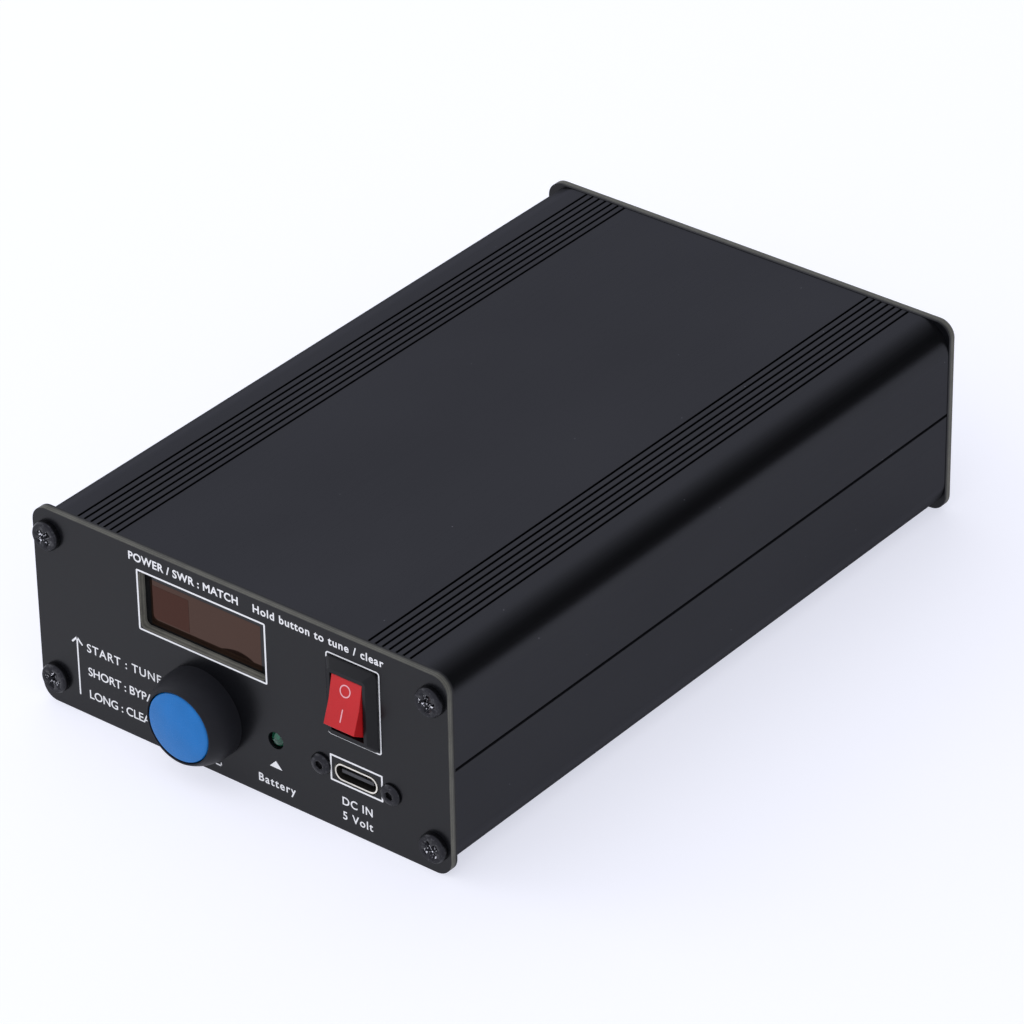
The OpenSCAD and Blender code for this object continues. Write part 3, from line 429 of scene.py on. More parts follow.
def make_finishes():
    made = {
        "case_black": anodised(),
        "panel_black": solder_mask(),
        "panel_edge_with_painted_shade": bare_fibreglass("panel_edge_with_painted_shade", 1.0, 0.4, True),
        # Painted light: the openings' edges are a lit copy of the board edge, 1.55 times brighter and without the
        # shade at the case.
        "opening_edge_painted_light": bare_fibreglass("opening_edge_painted_light", 1.55, 0.8, False),
        "ink_white": ink("ink_white", (0.88, 0.88, 0.86)),
        "screw_black": black_oxide(),
        "screw_worn": worn_steel(),
        "display_glass": display_face(),
        "display_film": display_film("display_film", (1.0, 0.46, 0.27), 1.58, (0.009, 0.0046, 0.003)),
        # Painted reflection: a darker, redder copy of the film over the display's left part, standing in for the
        # dark that part mirrors.
        "display_film_left_painted_reflection": display_film("display_film_left_painted_reflection", (1.0, 0.24, 0.06), 1.495, (0.009, 0.0024, 0.0012)),
        "board_blue": circuit_board("board_blue", (0.006, 0.022, 0.09), (0.02, 0.06, 0.20)),
        "board_green": circuit_board("board_green", (0.006, 0.07, 0.028), (0.02, 0.15, 0.06)),
        "mark_pink": ink("mark_pink", (0.80, 0.40, 0.42)),
        "copper": enamelled_wire("enamelled_copper", (0.62, 0.25, 0.10)),
        "led_green": green_lens(),
    }
    made.update({name: plastic(name, *look) for name, look in PLASTICS.items()})
    made.update({name: metal(name, *look) for name, look in METALS.items()})
    return made


FINISH = make_finishes()


# ---- Building pieces ----


def add_bmesh(target, source):
    """Adds one bmesh to another, and frees it."""
    scratch = bpy.data.meshes.new("scratch")
    source.to_mesh(scratch)
    source.free()
    target.from_mesh(scratch)
    bpy.data.meshes.remove(scratch)


def link(name, mesh):
    piece = bpy.data.objects.new(name, mesh)
    scene.collection.objects.link(piece)
    return piece


def applied(piece):
    """The piece's mesh with its modifiers applied, which it then keeps."""
    graph = bpy.context.evaluated_depsgraph_get()
    mesh = bpy.data.meshes.new_from_object(piece.evaluated_get(graph))
    piece.modifiers.clear()
    piece.data = mesh
    return mesh


def settle(piece, body, slot, replaces=(), finishes=()):
    """Puts a new piece on its body and gives it its finishes, or else the slot's own one."""
    piece.data.materials.clear()
    for name in finishes or (slot,):
        piece.data.materials.append(FINISH[name])
    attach(piece, body)
    if replaces:
        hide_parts(*replaces)
    return piece


def piece_from(bm, name, sharp=35):
    """A piece in metres from a bmesh in millimetres, smooth except at its sharp edges."""
    bmesh.ops.recalc_face_normals(bm, faces=bm.faces)
    bmesh.ops.scale(bm, vec=(MM, MM, MM), verts=bm.verts)
    mesh = bpy.data.meshes.new(name)
    bm.to_mesh(mesh)
    bm.free()
    mesh.shade_smooth()
    mesh.set_sharp_from_angle(angle=math.radians(sharp))
    return link(name, mesh)


def eased(source, width, segments=2, angle=32):
    """A new piece with a CAD node's own shape, its sharp edges eased by a small radius."""
    mesh = NODES[source].data.copy()
    if "custom_normal" in mesh.attributes:
        mesh.attributes.remove(mesh.attributes["custom_normal"])
    bm = bmesh.new()
    bm.from_mesh(mesh)
    bmesh.ops.remove_doubles(bm, verts=bm.verts, dist=0.0005 * MM)
    bmesh.ops.dissolve_limit(bm, angle_limit=math.radians(0.4), verts=bm.verts, edges=bm.edges)
    for edge in bm.edges:
        edge.smooth = True
    for face in bm.faces:
        face.smooth = True
    bm.to_mesh(mesh)
    bm.free()
    piece = link(source + "_eased", mesh)
    bevel = piece.modifiers.new("ease", "BEVEL")
    bevel.width = width * MM
    bevel.segments = segments
    bevel.limit_method = "ANGLE"
    bevel.angle_limit = math.radians(angle)
    bevel.harden_normals = True
    applied(piece)
    return piece


def ease(name, width, slot, body="case", segments=2):
    """Shows a CAD node in its own shape, with its edges eased."""
    settle(eased(name, width, segments), body, slot, (name,))


def fillet(before, corner, after, radius, steps):
    """Points of the arc that rounds a corner."""
    a = (before - corner).normalized()
    b = (after - corner).normalized()
    half = a.angle(b) / 2
    centre = corner + (a + b).normalized() * (radius / math.sin(half))
    start = corner + a * (radius / math.tan(half)) - centre
    end = corner + b * (radius / math.tan(half)) - centre
    first = math.atan2(start.y, start.x)
    sweep = (math.atan2(end.y, end.x) - first + math.pi) % math.tau - math.pi
    angles = [first + sweep * i / steps for i in range(steps + 1)]
    return [centre + radius * Vector((math.cos(t), math.sin(t))) for t in angles]


def rounded(points, closed=False, steps=4):
    """An outline from (x, y) points, where a third number rounds that corner."""
    flat = [Vector(p[:2]) for p in points]
    outline = []
    for i, p in enumerate(points):
        at_end = not closed and i in (0, len(points) - 1)
        if len(p) == 2 or at_end:
            outline.append(flat[i])
        else:
            outline += fillet(flat[i - 1], flat[i], flat[(i + 1) % len(flat)], p[2], steps)
    return outline


def turn_about_y(bm, profile, centre, steps=96):
    """Adds a closed surface turned about the line along Y through centre, from (radius, y) points.
    A radius may be a function of the angle. An outline that starts off the axis is closed on itself."""
    rings = []
    for radius, y in profile:
        if not callable(radius) and radius < 1e-6:
            rings.append([bm.verts.new((centre.x, y, centre.z))])
            continue
        ring = []
        for i in range(steps):
            angle = math.tau * i / steps
            r = radius(angle) if callable(radius) else radius
            ring.append(bm.verts.new((centre.x + r * math.cos(angle), y, centre.z + r * math.sin(angle))))
        rings.append(ring)
    pairs = list(zip(rings, rings[1:]))
    if len(rings[0]) > 1 and len(rings[-1]) > 1:
        pairs.append((rings[-1], rings[0]))
    for a, b in pairs:
        for i in range(steps):
            j = (i + 1) % steps
            around = [a[i % len(a)], a[j % len(a)], b[j % len(b)], b[i % len(b)]]
            face = list(dict.fromkeys(around))
            if len(face) > 2:
                bm.faces.new(face)


def sweep(bm, route, radius, sides=10):
    """Adds a round tube along a list of points."""
    last = len(route) - 1
    side = Vector((0, 0, 1))
    rings = []
    for i, p in enumerate(route):
        ahead = (route[min(i + 1, last)] - route[max(i - 1, 0)]).normalized()
        if abs(side.dot(ahead)) < 0.999:
            side = (side - ahead * side.dot(ahead)).normalized()
        else:
            side = ahead.orthogonal()
        up = ahead.cross(side)
        rings.append([bm.verts.new(p + radius * (math.cos(t) * side + math.sin(t) * up))
                      for t in (math.tau * k / sides for k in range(sides))])
    for a, b in zip(rings, rings[1:]):
        for k in range(sides):
            j = (k + 1) % sides
            bm.faces.new((a[k], a[j], b[j], b[k]))
    bm.faces.new(rings[0])
    bm.faces.new(rings[-1])


# ---- Printing: flat shapes a hair above a surface ----

PRINT_THICKNESS = 0.03


def text_mesh(words, weight, spacing=1.0):
    curve = bpy.data.curves.new("words", "FONT")
    curve.body = words
    curve.offset = weight
    curve.space_character = spacing
    curve.resolution_u = 5
    words_object = link("words", curve)
    graph = bpy.context.evaluated_depsgraph_get()
    mesh = bpy.data.meshes.new_from_object(words_object.evaluated_get(graph))
    bpy.data.objects.remove(words_object)
    bpy.data.curves.remove(curve)
    return mesh


def reach_of(mesh):
    across = [v.co.x for v in mesh.vertices]
    return min(across), max(across)


CAP_HEIGHT = max(v.co.y for v in text_mesh("H", 0).vertices)


class Print:
    """Flat shapes on one plane, drawn in millimetres to the right of and above its origin."""

    def __init__(self, origin, right, up):
        right, up = Vector(right).normalized(), Vector(up).normalized()
        out = right.cross(up)
        self.bm = bmesh.new()
        self.place = Matrix((right, up, out)).transposed().to_4x4()
        self.place.translation = Vector(origin)

    def extrude(self, flat):
        """Adds a flat bmesh as a thin plate, half sunk in the surface."""
        bmesh.ops.recalc_face_normals(flat, faces=flat.faces)
        grown = bmesh.ops.extrude_face_region(flat, geom=flat.faces[:], use_keep_orig=True)
        moved = [v for v in grown["geom"] if isinstance(v, bmesh.types.BMVert)]
        bmesh.ops.translate(flat, verts=moved, vec=(0, 0, PRINT_THICKNESS))
        bmesh.ops.translate(flat, verts=flat.verts, vec=(0, 0, -PRINT_THICKNESS / 2))
        bmesh.ops.transform(flat, matrix=self.place, verts=flat.verts)
        add_bmesh(self.bm, flat)

    def shape(self, points):
        flat = bmesh.new()
        flat.faces.new([flat.verts.new((*p[:2], 0)) for p in points])
        self.extrude(flat)

    def rectangle(self, left, bottom, right, top):
        self.shape([(left, bottom), (right, bottom), (right, top), (left, top)])

    def band(self, outer, inner):
        """The strip between two closed outlines with the same number of points."""
        flat = bmesh.new()
        a = [flat.verts.new((*p[:2], 0)) for p in outer]
        b = [flat.verts.new((*p[:2], 0)) for p in inner]
        for i in range(len(a)):
            j = (i + 1) % len(a)
            flat.faces.new((a[i], a[j], b[j], b[i]))
        self.extrude(flat)

    def frame(self, left, bottom, right, top, width, radius):
        def outline(inset):
            r = max(radius - inset, 0.02)
            box = [(left + inset, bottom + inset, r), (right - inset, bottom + inset, r),
                   (right - inset, top - inset, r), (left + inset, top - inset, r)]
            return rounded(box, closed=True)
        self.band(outline(0), outline(width))

    def ring(self, x, y, radius, width, steps=48):
        def circle(r):
            return [(x + r * math.cos(math.tau * i / steps), y + r * math.sin(math.tau * i / steps))
                    for i in range(steps)]
        self.band(circle(radius), circle(radius - width))

    def line(self, start, end, width):
        """A straight stroke with round ends."""
        start, end = Vector(start), Vector(end)
        along = math.atan2(end.y - start.y, end.x - start.x)
        turns = [along + math.pi / 2 + math.pi * i / 6 for i in range(7)]
        cap = [start + width / 2 * Vector((math.cos(t), math.sin(t))) for t in turns]
        tip = [end - width / 2 * Vector((math.cos(t), math.sin(t))) for t in turns]
        self.shape(cap + tip)

    def letters(self, words, left, base, height, right, weight=0.0):
        """Words from left to right, with capitals of that height, spaced out to fit."""
        tall = height / CAP_HEIGHT
        close, apart = 0.9, 1.3
        widths = []
        for spacing in (close, apart):
            low, high = reach_of(text_mesh(words, weight, spacing))
            widths.append((high - low) * tall)
        share = (right - left - widths[0]) / (widths[1] - widths[0])
        share = max(0.0, min(1.0, share))
        mesh = text_mesh(words, weight, close + (apart - close) * share)
        low, high = reach_of(mesh)
        wide = (right - left) / (high - low)
        flat = bmesh.new()
        flat.from_mesh(mesh)
        bpy.data.meshes.remove(mesh)
        for v in flat.verts:
            v.co = (left + (v.co.x - low) * wide, base + v.co.y * tall, 0)
        bmesh.ops.remove_doubles(flat, verts=flat.verts, dist=1e-5)
        self.extrude(flat)

    def finish(self, name, body, slot, finish):
        return settle(piece_from(self.bm, name), body, slot, finishes=(finish,))


# ---- Case ----


def bare_the_edges(panel):
    """Gives a panel's cut edges their own finishes. The wall of the light's small hole takes the black lacquer:
    painted shade in that narrow hole.
    """
    low, high = corners("front_panel")
    margin = 0.96
    light_hole = 2
    for face in panel.data.polygons:
        x, z = face.center.x / MM, face.center.z / MM
        outside = min(x - low.x, high.x - x, z - low.z, high.z - z) < margin
        in_light_hole = math.hypot(x - LIGHT.x, z - LIGHT.z) < light_hole
        # Painted shade: the light hole's wall is given the black lacquer.
        if abs(face.normal.y) > 0.75 or in_light_hole:
            face.material_index = 0
        else:
            # Edges of the openings take the lit copy of the board edge: painted light.
            face.material_index = 1 if outside else 2


def build_case():
    for shell in ("upper_shell", "lower_shell"):
        ease(shell, 0.055, "case_black")
    for panel in ("front_panel", "rear_panel"):
        piece = eased(panel, 0.08)
        settle(piece, "case", "panel_black", (panel,), ("panel_black", "panel_edge_with_painted_shade", "opening_edge_painted_light"))
        bare_the_edges(piece)


def cross_cutter(centre, front_y, turn, sign):
    """A tapered cross that cuts a screw's recess from front_y inwards. sign is the way in along Y."""
    length, width, depth = 1.62, 0.52, 0.85
    tip_length, tip_width, tip = 0.85, 0.27, 0.25
    lead = 0.4
    bm = bmesh.new()
    rings = []
    levels = ((-lead, length + 0.2, width + 0.1), (0, length, width), (depth, tip_length, tip_width))
    for deep, long, wide in levels:
        arm_corners = ((long, -wide), (long, wide), (wide, wide))
        ring = []
        for arm in range(4):
            turned = Matrix.Rotation(turn + arm * math.pi / 2, 2)
            for corner in arm_corners:
                flat = turned @ Vector(corner)
                ring.append(bm.verts.new((centre.x + flat.x, front_y + sign * deep, centre.z + flat.y)))
        rings.append(ring)
    count = len(rings[0])
    for a, b in zip(rings, rings[1:]):
        for i in range(count):
            j = (i + 1) % count
            bm.faces.new((a[i], a[j], b[j], b[i]))
    point = bm.verts.new((centre.x, front_y + sign * (depth + tip), centre.z))
    for i in range(count):
        bm.faces.new((rings[-1][i], rings[-1][(i + 1) % count], point))
    bm.faces.new(rings[0])
    return bm


def thread_outline(shank, depth, start, pitch, ridges):
    """Outline points of a screw's thread, root and crest in turn."""
    return [(shank if i % 2 else shank - depth, start + i * pitch / 2) for i in range(ridges)]


def build_panel_screws(name, seat_y, sign):
    """Four pan-head screws. sign is the way in along Y, 1 at the front and -1 at the rear."""
    low, high = corners(name)
    head = 2.7
    thick, length = sorted((abs(low.y - seat_y), abs(high.y - seat_y)))
    shank = 1.25
    rim = head - 0.26
    outline = [(0, -thick), (rim - 0.25, -thick), (rim, -thick + 0.02), (rim + 0.07, -thick + 0.14),
               (head - 0.08, -thick + 0.24), (head, -thick + 0.5, 0.2), (head, -0.02, 0.06),
               (shank + 0.05, 0), (shank, 0.08)]
    outline += thread_outline(shank, 0.16, 0.3, 0.5, 34)
    outline += [(shank - 0.3, length, 0.05), (0, length)]
    outline = rounded(outline)
    bm = bmesh.new()
    cutter = bmesh.new()
    places = []
    for x in (low.x + head, high.x - head):
        for z in (low.z + head, high.z - head):
            centre = Vector((x, 0, z))
            places.append(centre)
            turn_about_y(bm, [(p.x, seat_y + sign * p.y) for p in outline], centre, 64)
            turn = math.radians(25 * math.copysign(1, x) + 2 * z)
            add_bmesh(cutter, cross_cutter(centre, seat_y - sign * thick, turn, sign))
    piece = piece_from(bm, name + "_cut")
    cut_away(piece, cutter)
    settle(piece, "case", "screw_black", (name,), ("screw_black", "screw_worn"))
    recess = 1.95
    for face in piece.data.polygons:
        deep = sign * (face.center.y / MM - seat_y) + thick
        across = min(math.hypot(face.center.x / MM - c.x, face.center.z / MM - c.z) for c in places)
        in_recess = across < recess and 0.03 < deep < 1.2
        face.material_index = 1 if in_recess else 0


def build_front_print():
    """The white legend. Places are across and up the panel."""
    page = Print((0, FRONT_Y, 0), (1, 0, 0), (0, 0, 1))
    line = 0.33
    page.frame(-21.3, 22.15, 6.35, 33.95, line, 0.35)
    page.frame(19.0, 18.1, 30.15, 34.0, 0.26, 0.6)
    page.frame(19.15, 9.05, 30.15, 14.2, line, 0.12)
    page.letters("POWER / SWR : MATCH", -22.8, 35.35, 1.45, 0.75, 0.022)
    page.letters("Hold button to tune / clear", 3.9, 35.35, 1.45, 31.1, 0.02)
    rows = (("START : TUNE", 12.85, -17.0), ("SHORT : BYPASS", 8.15, -17.0), ("LONG : CLEAR ALL", 3.6, -14.2))
    for words, base, end in rows:
        page.letters(words, -33.45, base, 1.6, end, 0.008)
    arrow = -35.6
    page.line((arrow, 3.6), (arrow, 14.6), 0.3)
    for side in (-1, 1):
        page.line((arrow, 14.85), (arrow + side * 1.05, 13.75), 0.34)
    page.shape([(6.1, 6.35), (8.75, 6.35), (7.44, 7.75)])
    page.letters("Battery", 3.6, 2.5, 1.5, 11.5, 0.016)
    page.letters("DC IN", 21.5, 5.15, 1.5, 27.8, 0.012)
    page.letters("5 Volt", 21.5, 2.3, 1.5, 27.8, 0.012)
    page.line((-5.7, 1.8), (-4.6, 1.8), 0.25)
    page.line((-4.6, 1.8), (-4.6, 2.3), 0.25)
    page.finish("front_print", "case", "plastic_white", "ink_white")


def build_rear_print():
    """A word over each socket."""
    page = Print((0, REAR_Y, 0), (-1, 0, 0), (0, 0, 1))
    low, high = corners("bnc_bodies")
    reach = (high.x - low.x) / 2
    for words, at in (("OUT", -reach + 7), ("IN", reach - 7), ("CTRL", 0)):
        half = 0.62 * len(words)
        page.letters(words, at - half * 1.3, 29.2, 1.6, at + half * 1.3, 0.012)
    page.finish("rear_print", "case", "plastic_white", "ink_white")


# ---- Tune button ----

# Radii of the bezel's mouth and of the recess in it, and how full the bezel's curve is.
RIM = 6.85
RECESS = 6.55
SWELL = 1.6
# How far the recess's floor is in front of the panel.
RECESS_FLOOR = 0.6
# Radii of the threaded barrel and of its plain tail.
BARREL = 7.9
THREAD_ROOT = 7.5
THREAD_PITCH = 1.0
TAIL = 7.2
# The plunger's guide, the contact chamber behind it and the wall at its end.
GUIDE = 2.55
GUIDE_LENGTH = 4
CHAMBER = 5
END_WALL = 2


def cut_away(piece, bm):
    """Cuts a bmesh's shape out of a piece."""
    tool = piece_from(bm, "cutter")
    cut = piece.modifiers.new("cut", "BOOLEAN")
    cut.operation = "DIFFERENCE"
    cut.solver = "EXACT"
    cut.object = tool
    applied(piece)
    bpy.data.objects.remove(tool)


def thread_radius(y):
    """The radius of a screw thread at y, as a function of the angle about its axis."""
    def radius(angle):
        phase = (y / THREAD_PITCH - angle / math.tau) % 1
        return THREAD_ROOT + (BARREL - THREAD_ROOT) * (1 - abs(2 * phase - 1))
    return radius


def build_button_housing():
    """Bezel and barrel, turned as one outline from the guide round the outside and back inside."""
    low, high = corners("button_housing")
    base = (high.x - low.x) / 2
    rim_y, end_y = low.y, high.y
    height = FRONT_Y - rim_y
    floor_y = FRONT_Y - RECESS_FLOOR
    chamber_y = floor_y + GUIDE_LENGTH
    threaded = 12
    tail_y = PANEL_BACK_Y + threaded
    chamber_end_y = end_y - END_WALL
    mouth = rounded([(GUIDE, chamber_y), (GUIDE, floor_y, 0.12), (RECESS, floor_y, 0.12),
                     (RECESS, rim_y, 0.12), (RIM, rim_y + 0.02, 0.14), (RIM + 0.12, rim_y + 0.3)])
    steps = 24
    flare = []
    for i in range(2, steps + 1):
        share = 1 - i / steps
        radius = RIM + (base - RIM) * math.cos(math.pi / 2 * share ** SWELL)
        flare.append((radius, FRONT_Y - height * share))
    neck = [(BARREL, FRONT_Y), (BARREL, PANEL_BACK_Y + 0.4), (THREAD_ROOT, PANEL_BACK_Y + 0.7)]
    per_turn = 8
    rings = int((tail_y - PANEL_BACK_Y - 1.6) / THREAD_PITCH * per_turn)
    thread = []
    for i in range(rings):
        y = PANEL_BACK_Y + 0.9 + THREAD_PITCH * i / per_turn
        thread.append((thread_radius(y), y))
    back = rounded([(THREAD_ROOT, tail_y - 0.5), (THREAD_ROOT, tail_y), (TAIL, tail_y), (TAIL, end_y, 0.4),
                    (0, end_y)])
    chamber = [(0, chamber_end_y), (CHAMBER, chamber_end_y), (CHAMBER, chamber_y)]
    bm = bmesh.new()
    outline = list(mouth[1:]) + flare + neck + thread + list(back)
    turn_about_y(bm, outline + chamber + [mouth[0]], BUTTON, 112)
    piece = piece_from(bm, "button_bezel")
    slots = bmesh.new()
    first, last = corners("button_terminals")
    for x in (first.x + 1.9, last.x - 1.9):
        verts = bmesh.ops.create_cube(slots, size=1)["verts"]
        bmesh.ops.scale(slots, verts=verts, vec=(0.7, END_WALL + 2, 2.9))
        bmesh.ops.translate(slots, verts=verts, vec=(x, end_y - END_WALL / 2, BUTTON.z))
    cut_away(piece, slots)
    piece.data.set_sharp_from_angle(angle=math.radians(35))
    settle(piece, "case", "button_black", ("button_housing",))


def build_button_cap():
    """The cap, with a slightly domed face and a socket in its back for the plunger."""
    low, high = corners("button_cap")
    radius = (high.x - low.x) / 2
    dome = 0.62
    edge = 0.5
    socket = 2.52
    socket_depth = 1.6
    rings = 9
    crown = [(0, low.y)]
    for i in range(1, rings + 1):
        r = (radius - edge) * i / rings
        crown.append((r, low.y + dome * (r / radius) ** 2))
    edge_y = low.y + dome
    side = rounded([crown[-1], (radius, edge_y - 0.02, edge), (radius, high.y, 0.15),
                    (socket, high.y, 0.1), (socket, high.y - socket_depth), (0, high.y - socket_depth)],
                   steps=7)
    bm = bmesh.new()
    turn_about_y(bm, crown[:-1] + list(side), BUTTON, 112)
    piece = piece_from(bm, "button_cap_moulded")
    settle(piece, "tune_button", "button_blue", ("button_cap",))


# ---- Power switch ----


def face_of_rocker(lean):
    """The directions to the right and up a face that leans back by an angle."""
    return (1, 0, 0), (0, -math.sin(lean), math.cos(lean))


def build_switch():
    """The switch, and the marks on the two faces of its rocker, which meet at a shallow crease."""
    ease("switch_housing", 0.22, "switch_black", segments=3)
    ease("power_rocker", 0.22, "rocker_red", "power_rocker", segments=4)
    tilt = math.radians(16)
    dip = math.atan2(0.3, 4.35)
    crease = PIVOT + 3.6 * Vector((0, -math.cos(tilt), math.sin(tilt)))
    crease.x = SWITCH.x
    stroke = 0.22
    off = Print(crease, *face_of_rocker(dip - tilt))
    off.ring(0, 2.3, 1.12, stroke)
    off.finish("rocker_mark_off", "power_rocker", "plastic_white", "mark_pink")
    on = Print(crease, *face_of_rocker(-dip - tilt))
    on.line((0, -3.0), (0, -0.95), stroke)
    on.finish("rocker_mark_on", "power_rocker", "plastic_white", "mark_pink")


# ---- Charging port, light and display ----


def build_port():
    """The port's shell, its inner walls a dark copy of its metal as painted shade, its tongue with the pads, and
    its two screws.
    """
    shell = eased("usb_shell", 0.08)
    settle(shell, "case", "usb_shell", ("usb_shell",), ("usb_shell", "usb_inside_painted_shade"))
    low, high = corners("usb_shell")
    wall = 0.24
    bar = (high.x - low.x - (high.z - low.z)) / 2
    inner = (high.z - low.z) / 2 - wall
    for face in shell.data.polygons:
        off_centre = face.center.x / MM - PORT.x
        along = max(-bar, min(bar, off_centre))
        across = math.hypot(off_centre - along, face.center.z / MM - PORT.z)
        face.material_index = 1 if across < inner and face.center.y / MM > low.y + 0.2 else 0
    ease("usb_tongue", 0.08, "plastic_grey")
    build_pads()
    build_port_screws()


def build_pads():
    """Twelve gold pads on each side of the port's tongue."""
    front_y = corners("usb_tongue")[0].y
    half = 0.35
    count, pitch, wide, deep = 12, 0.5, 0.28, 3.2
    for name, side in (("usb_pads_upper", 1), ("usb_pads_lower", -1)):
        page = Print((PORT.x, 0, PORT.z + side * half), (side, 0, 0), (0, 1, 0))
        for i in range(count):
            x = (i - (count - 1) / 2) * pitch
            page.rectangle(x - wide / 2, front_y + 0.4, x + wide / 2, front_y + deep)
        page.finish(name, "case", "contact_gold", "contact_gold")


def build_port_screws():
    """Two low button-head screws with a hexagon socket."""
    low, high = corners("usb_screws")
    head = (high.z - low.z) / 2
    thick = FRONT_Y - low.y
    shank = 0.8
    length = high.y - FRONT_Y
    socket, socket_depth = 0.87, 0.6
    rim = head - 0.42
    outline = [(0, -thick), (rim - 0.6, -thick), (rim, -thick + 0.05), (rim + 0.1, -thick + 0.12),
               (head - 0.03, -thick + 0.42, 0.12), (head, -0.05, 0.05), (shank + 0.03, 0), (shank, 0.05)]
    outline += thread_outline(shank, 0.11, 0.25, 0.4, 22)
    outline += [(shank - 0.25, length, 0.05), (0, length)]
    outline = rounded(outline)
    bm = bmesh.new()
    cutter = bmesh.new()
    for x in (low.x + head, high.x - head):
        centre = Vector((x, 0, PORT.z))
        turn_about_y(bm, [(p.x, FRONT_Y + p.y) for p in outline], centre, 56)
        made = bmesh.ops.create_cone(cutter, cap_ends=True, segments=6, radius1=socket, radius2=socket,
                                     depth=2)
        turn = Matrix.Rotation(math.pi / 2, 4, "X") @ Matrix.Rotation(0.3 * centre.x, 4, "Z")
        shift = Matrix.Translation((centre.x, FRONT_Y - thick + socket_depth - 1, centre.z))
        bmesh.ops.transform(cutter, matrix=shift @ turn, verts=made["verts"])
    piece = piece_from(bm, "usb_screws_cut")
    cut_away(piece, cutter)
    settle(piece, "case", "screw_black", ("usb_screws",))


def build_light():
    """The light's domed lens, and the two posts that show through it."""
    low, high = corners("charge_led")
    lens, flange, flange_y = 1.5, 1.9, PANEL_BACK_Y + 0.05
    outline = rounded([(0, low.y), (0.7, low.y + 0.06), (lens, low.y + 0.55, 0.6), (lens, flange_y),
                       (flange, flange_y, 0.08), (flange, flange_y + 0.8, 0.08), (lens, flange_y + 0.8),
                       (lens, high.y, 0.1), (0, high.y)], steps=6)
    bm = bmesh.new()
    turn_about_y(bm, outline, LIGHT, 64)
    piece = piece_from(bm, "charge_led_lens")
    settle(piece, "case", "led_green", ("charge_led",))
    bm = bmesh.new()
    for side, wide in ((-0.45, 0.42), (0.5, 0.2)):
        post = [(0, low.y + 1.1), (wide, low.y + 1.2), (wide * 0.8, low.y + 1.8), (0.14, low.y + 2.2),
                (0.14, high.y - 0.1), (0, high.y - 0.1)]
        turn_about_y(bm, post, LIGHT + Vector((side, 0, 0)), 20)
    settle(piece_from(bm, "charge_led_anvil"), "case", "steel_plated")


def build_display():
    """The glass, the film on it, a darker and redder copy of the film over its left part as painted reflection,
    and the contacts at its right. Their places are across and up the panel."""
    face_y = corners("display_glass")[0].y
    ease("display_glass", 0.1, "display_glass")
    plates = (("display_film", (-19.85, 22.95, 3.85, 31.6), 0.0),
              ("display_film_left_painted_reflection", (-19.4, 24.25, -11.6, 30.6), 0.02))
    for name, edges, proud in plates:
        page = Print((0, face_y - proud, 0), (1, 0, 0), (0, 0, 1))
        page.rectangle(*edges)
        page.finish(name, "case", "display_glass", name)
    pads = Print((0, face_y, 0), (1, 0, 0), (0, 0, 1))
    count, first, pitch = 14, 23.6, 0.58
    for i in range(count):
        z = first + i * pitch
        pads.rectangle(4.6, z, 5.1, z + 0.3)
    pads.finish("display_contacts", "case", "display_glass", "display_film")


# ---- Rear sockets ----


def build_rear():
    """The sockets keep their CAD shapes, with their edges eased."""
    ease("bnc_bodies", 0.15, "nickel", segments=3)
    ease("bnc_insulators", 0.1, "plastic_white")
    ease("bnc_contacts", 0.08, "contact_gold")
    ease("control_jack", 0.12, "plastic_black")
    ease("control_jack_nut", 0.12, "nickel")


# ---- Inside ----


WINDING_STEPS = 28


def sweep_all(name, routes, radius, slot, replaces):
    """One piece made of round wires along several routes, in place of a CAD node."""
    bm = bmesh.new()
    for route in routes:
        sweep(bm, route, radius)
    piece = piece_from(bm, name, sharp=60)
    return settle(piece, "case", slot, (replaces,))


def build_air_coils():
    """Three coils of stiff wire. Both ends run down to the board on the outside of the coil."""
    low, high = corners("air_coils")
    wire = 0.4
    turns = 5.5
    length = 6.8 - 2 * wire
    radius = (high.x - low.x) / 2 - wire
    centre_x, centre_z = (low.x + high.x) / 2, (low.z + high.z) / 2
    board_z = corners("main_board")[1].z
    starts = (low.y + wire, (low.y + high.y - length) / 2, high.y - wire - length)
    routes = []
    for start in starts:
        count = int(turns * WINDING_STEPS)
        route = [Vector((centre_x + radius, start, board_z))]
        for i in range(count + 1):
            angle = math.tau * i / WINDING_STEPS
            route.append(Vector((centre_x + radius * math.cos(angle), start + length * i / count,
                                 centre_z + radius * math.sin(angle))))
        route.append(Vector((centre_x - radius, start + length, board_z)))
        routes.append(route)
    sweep_all("air_coils_wound", routes, wire, "copper", "air_coils")


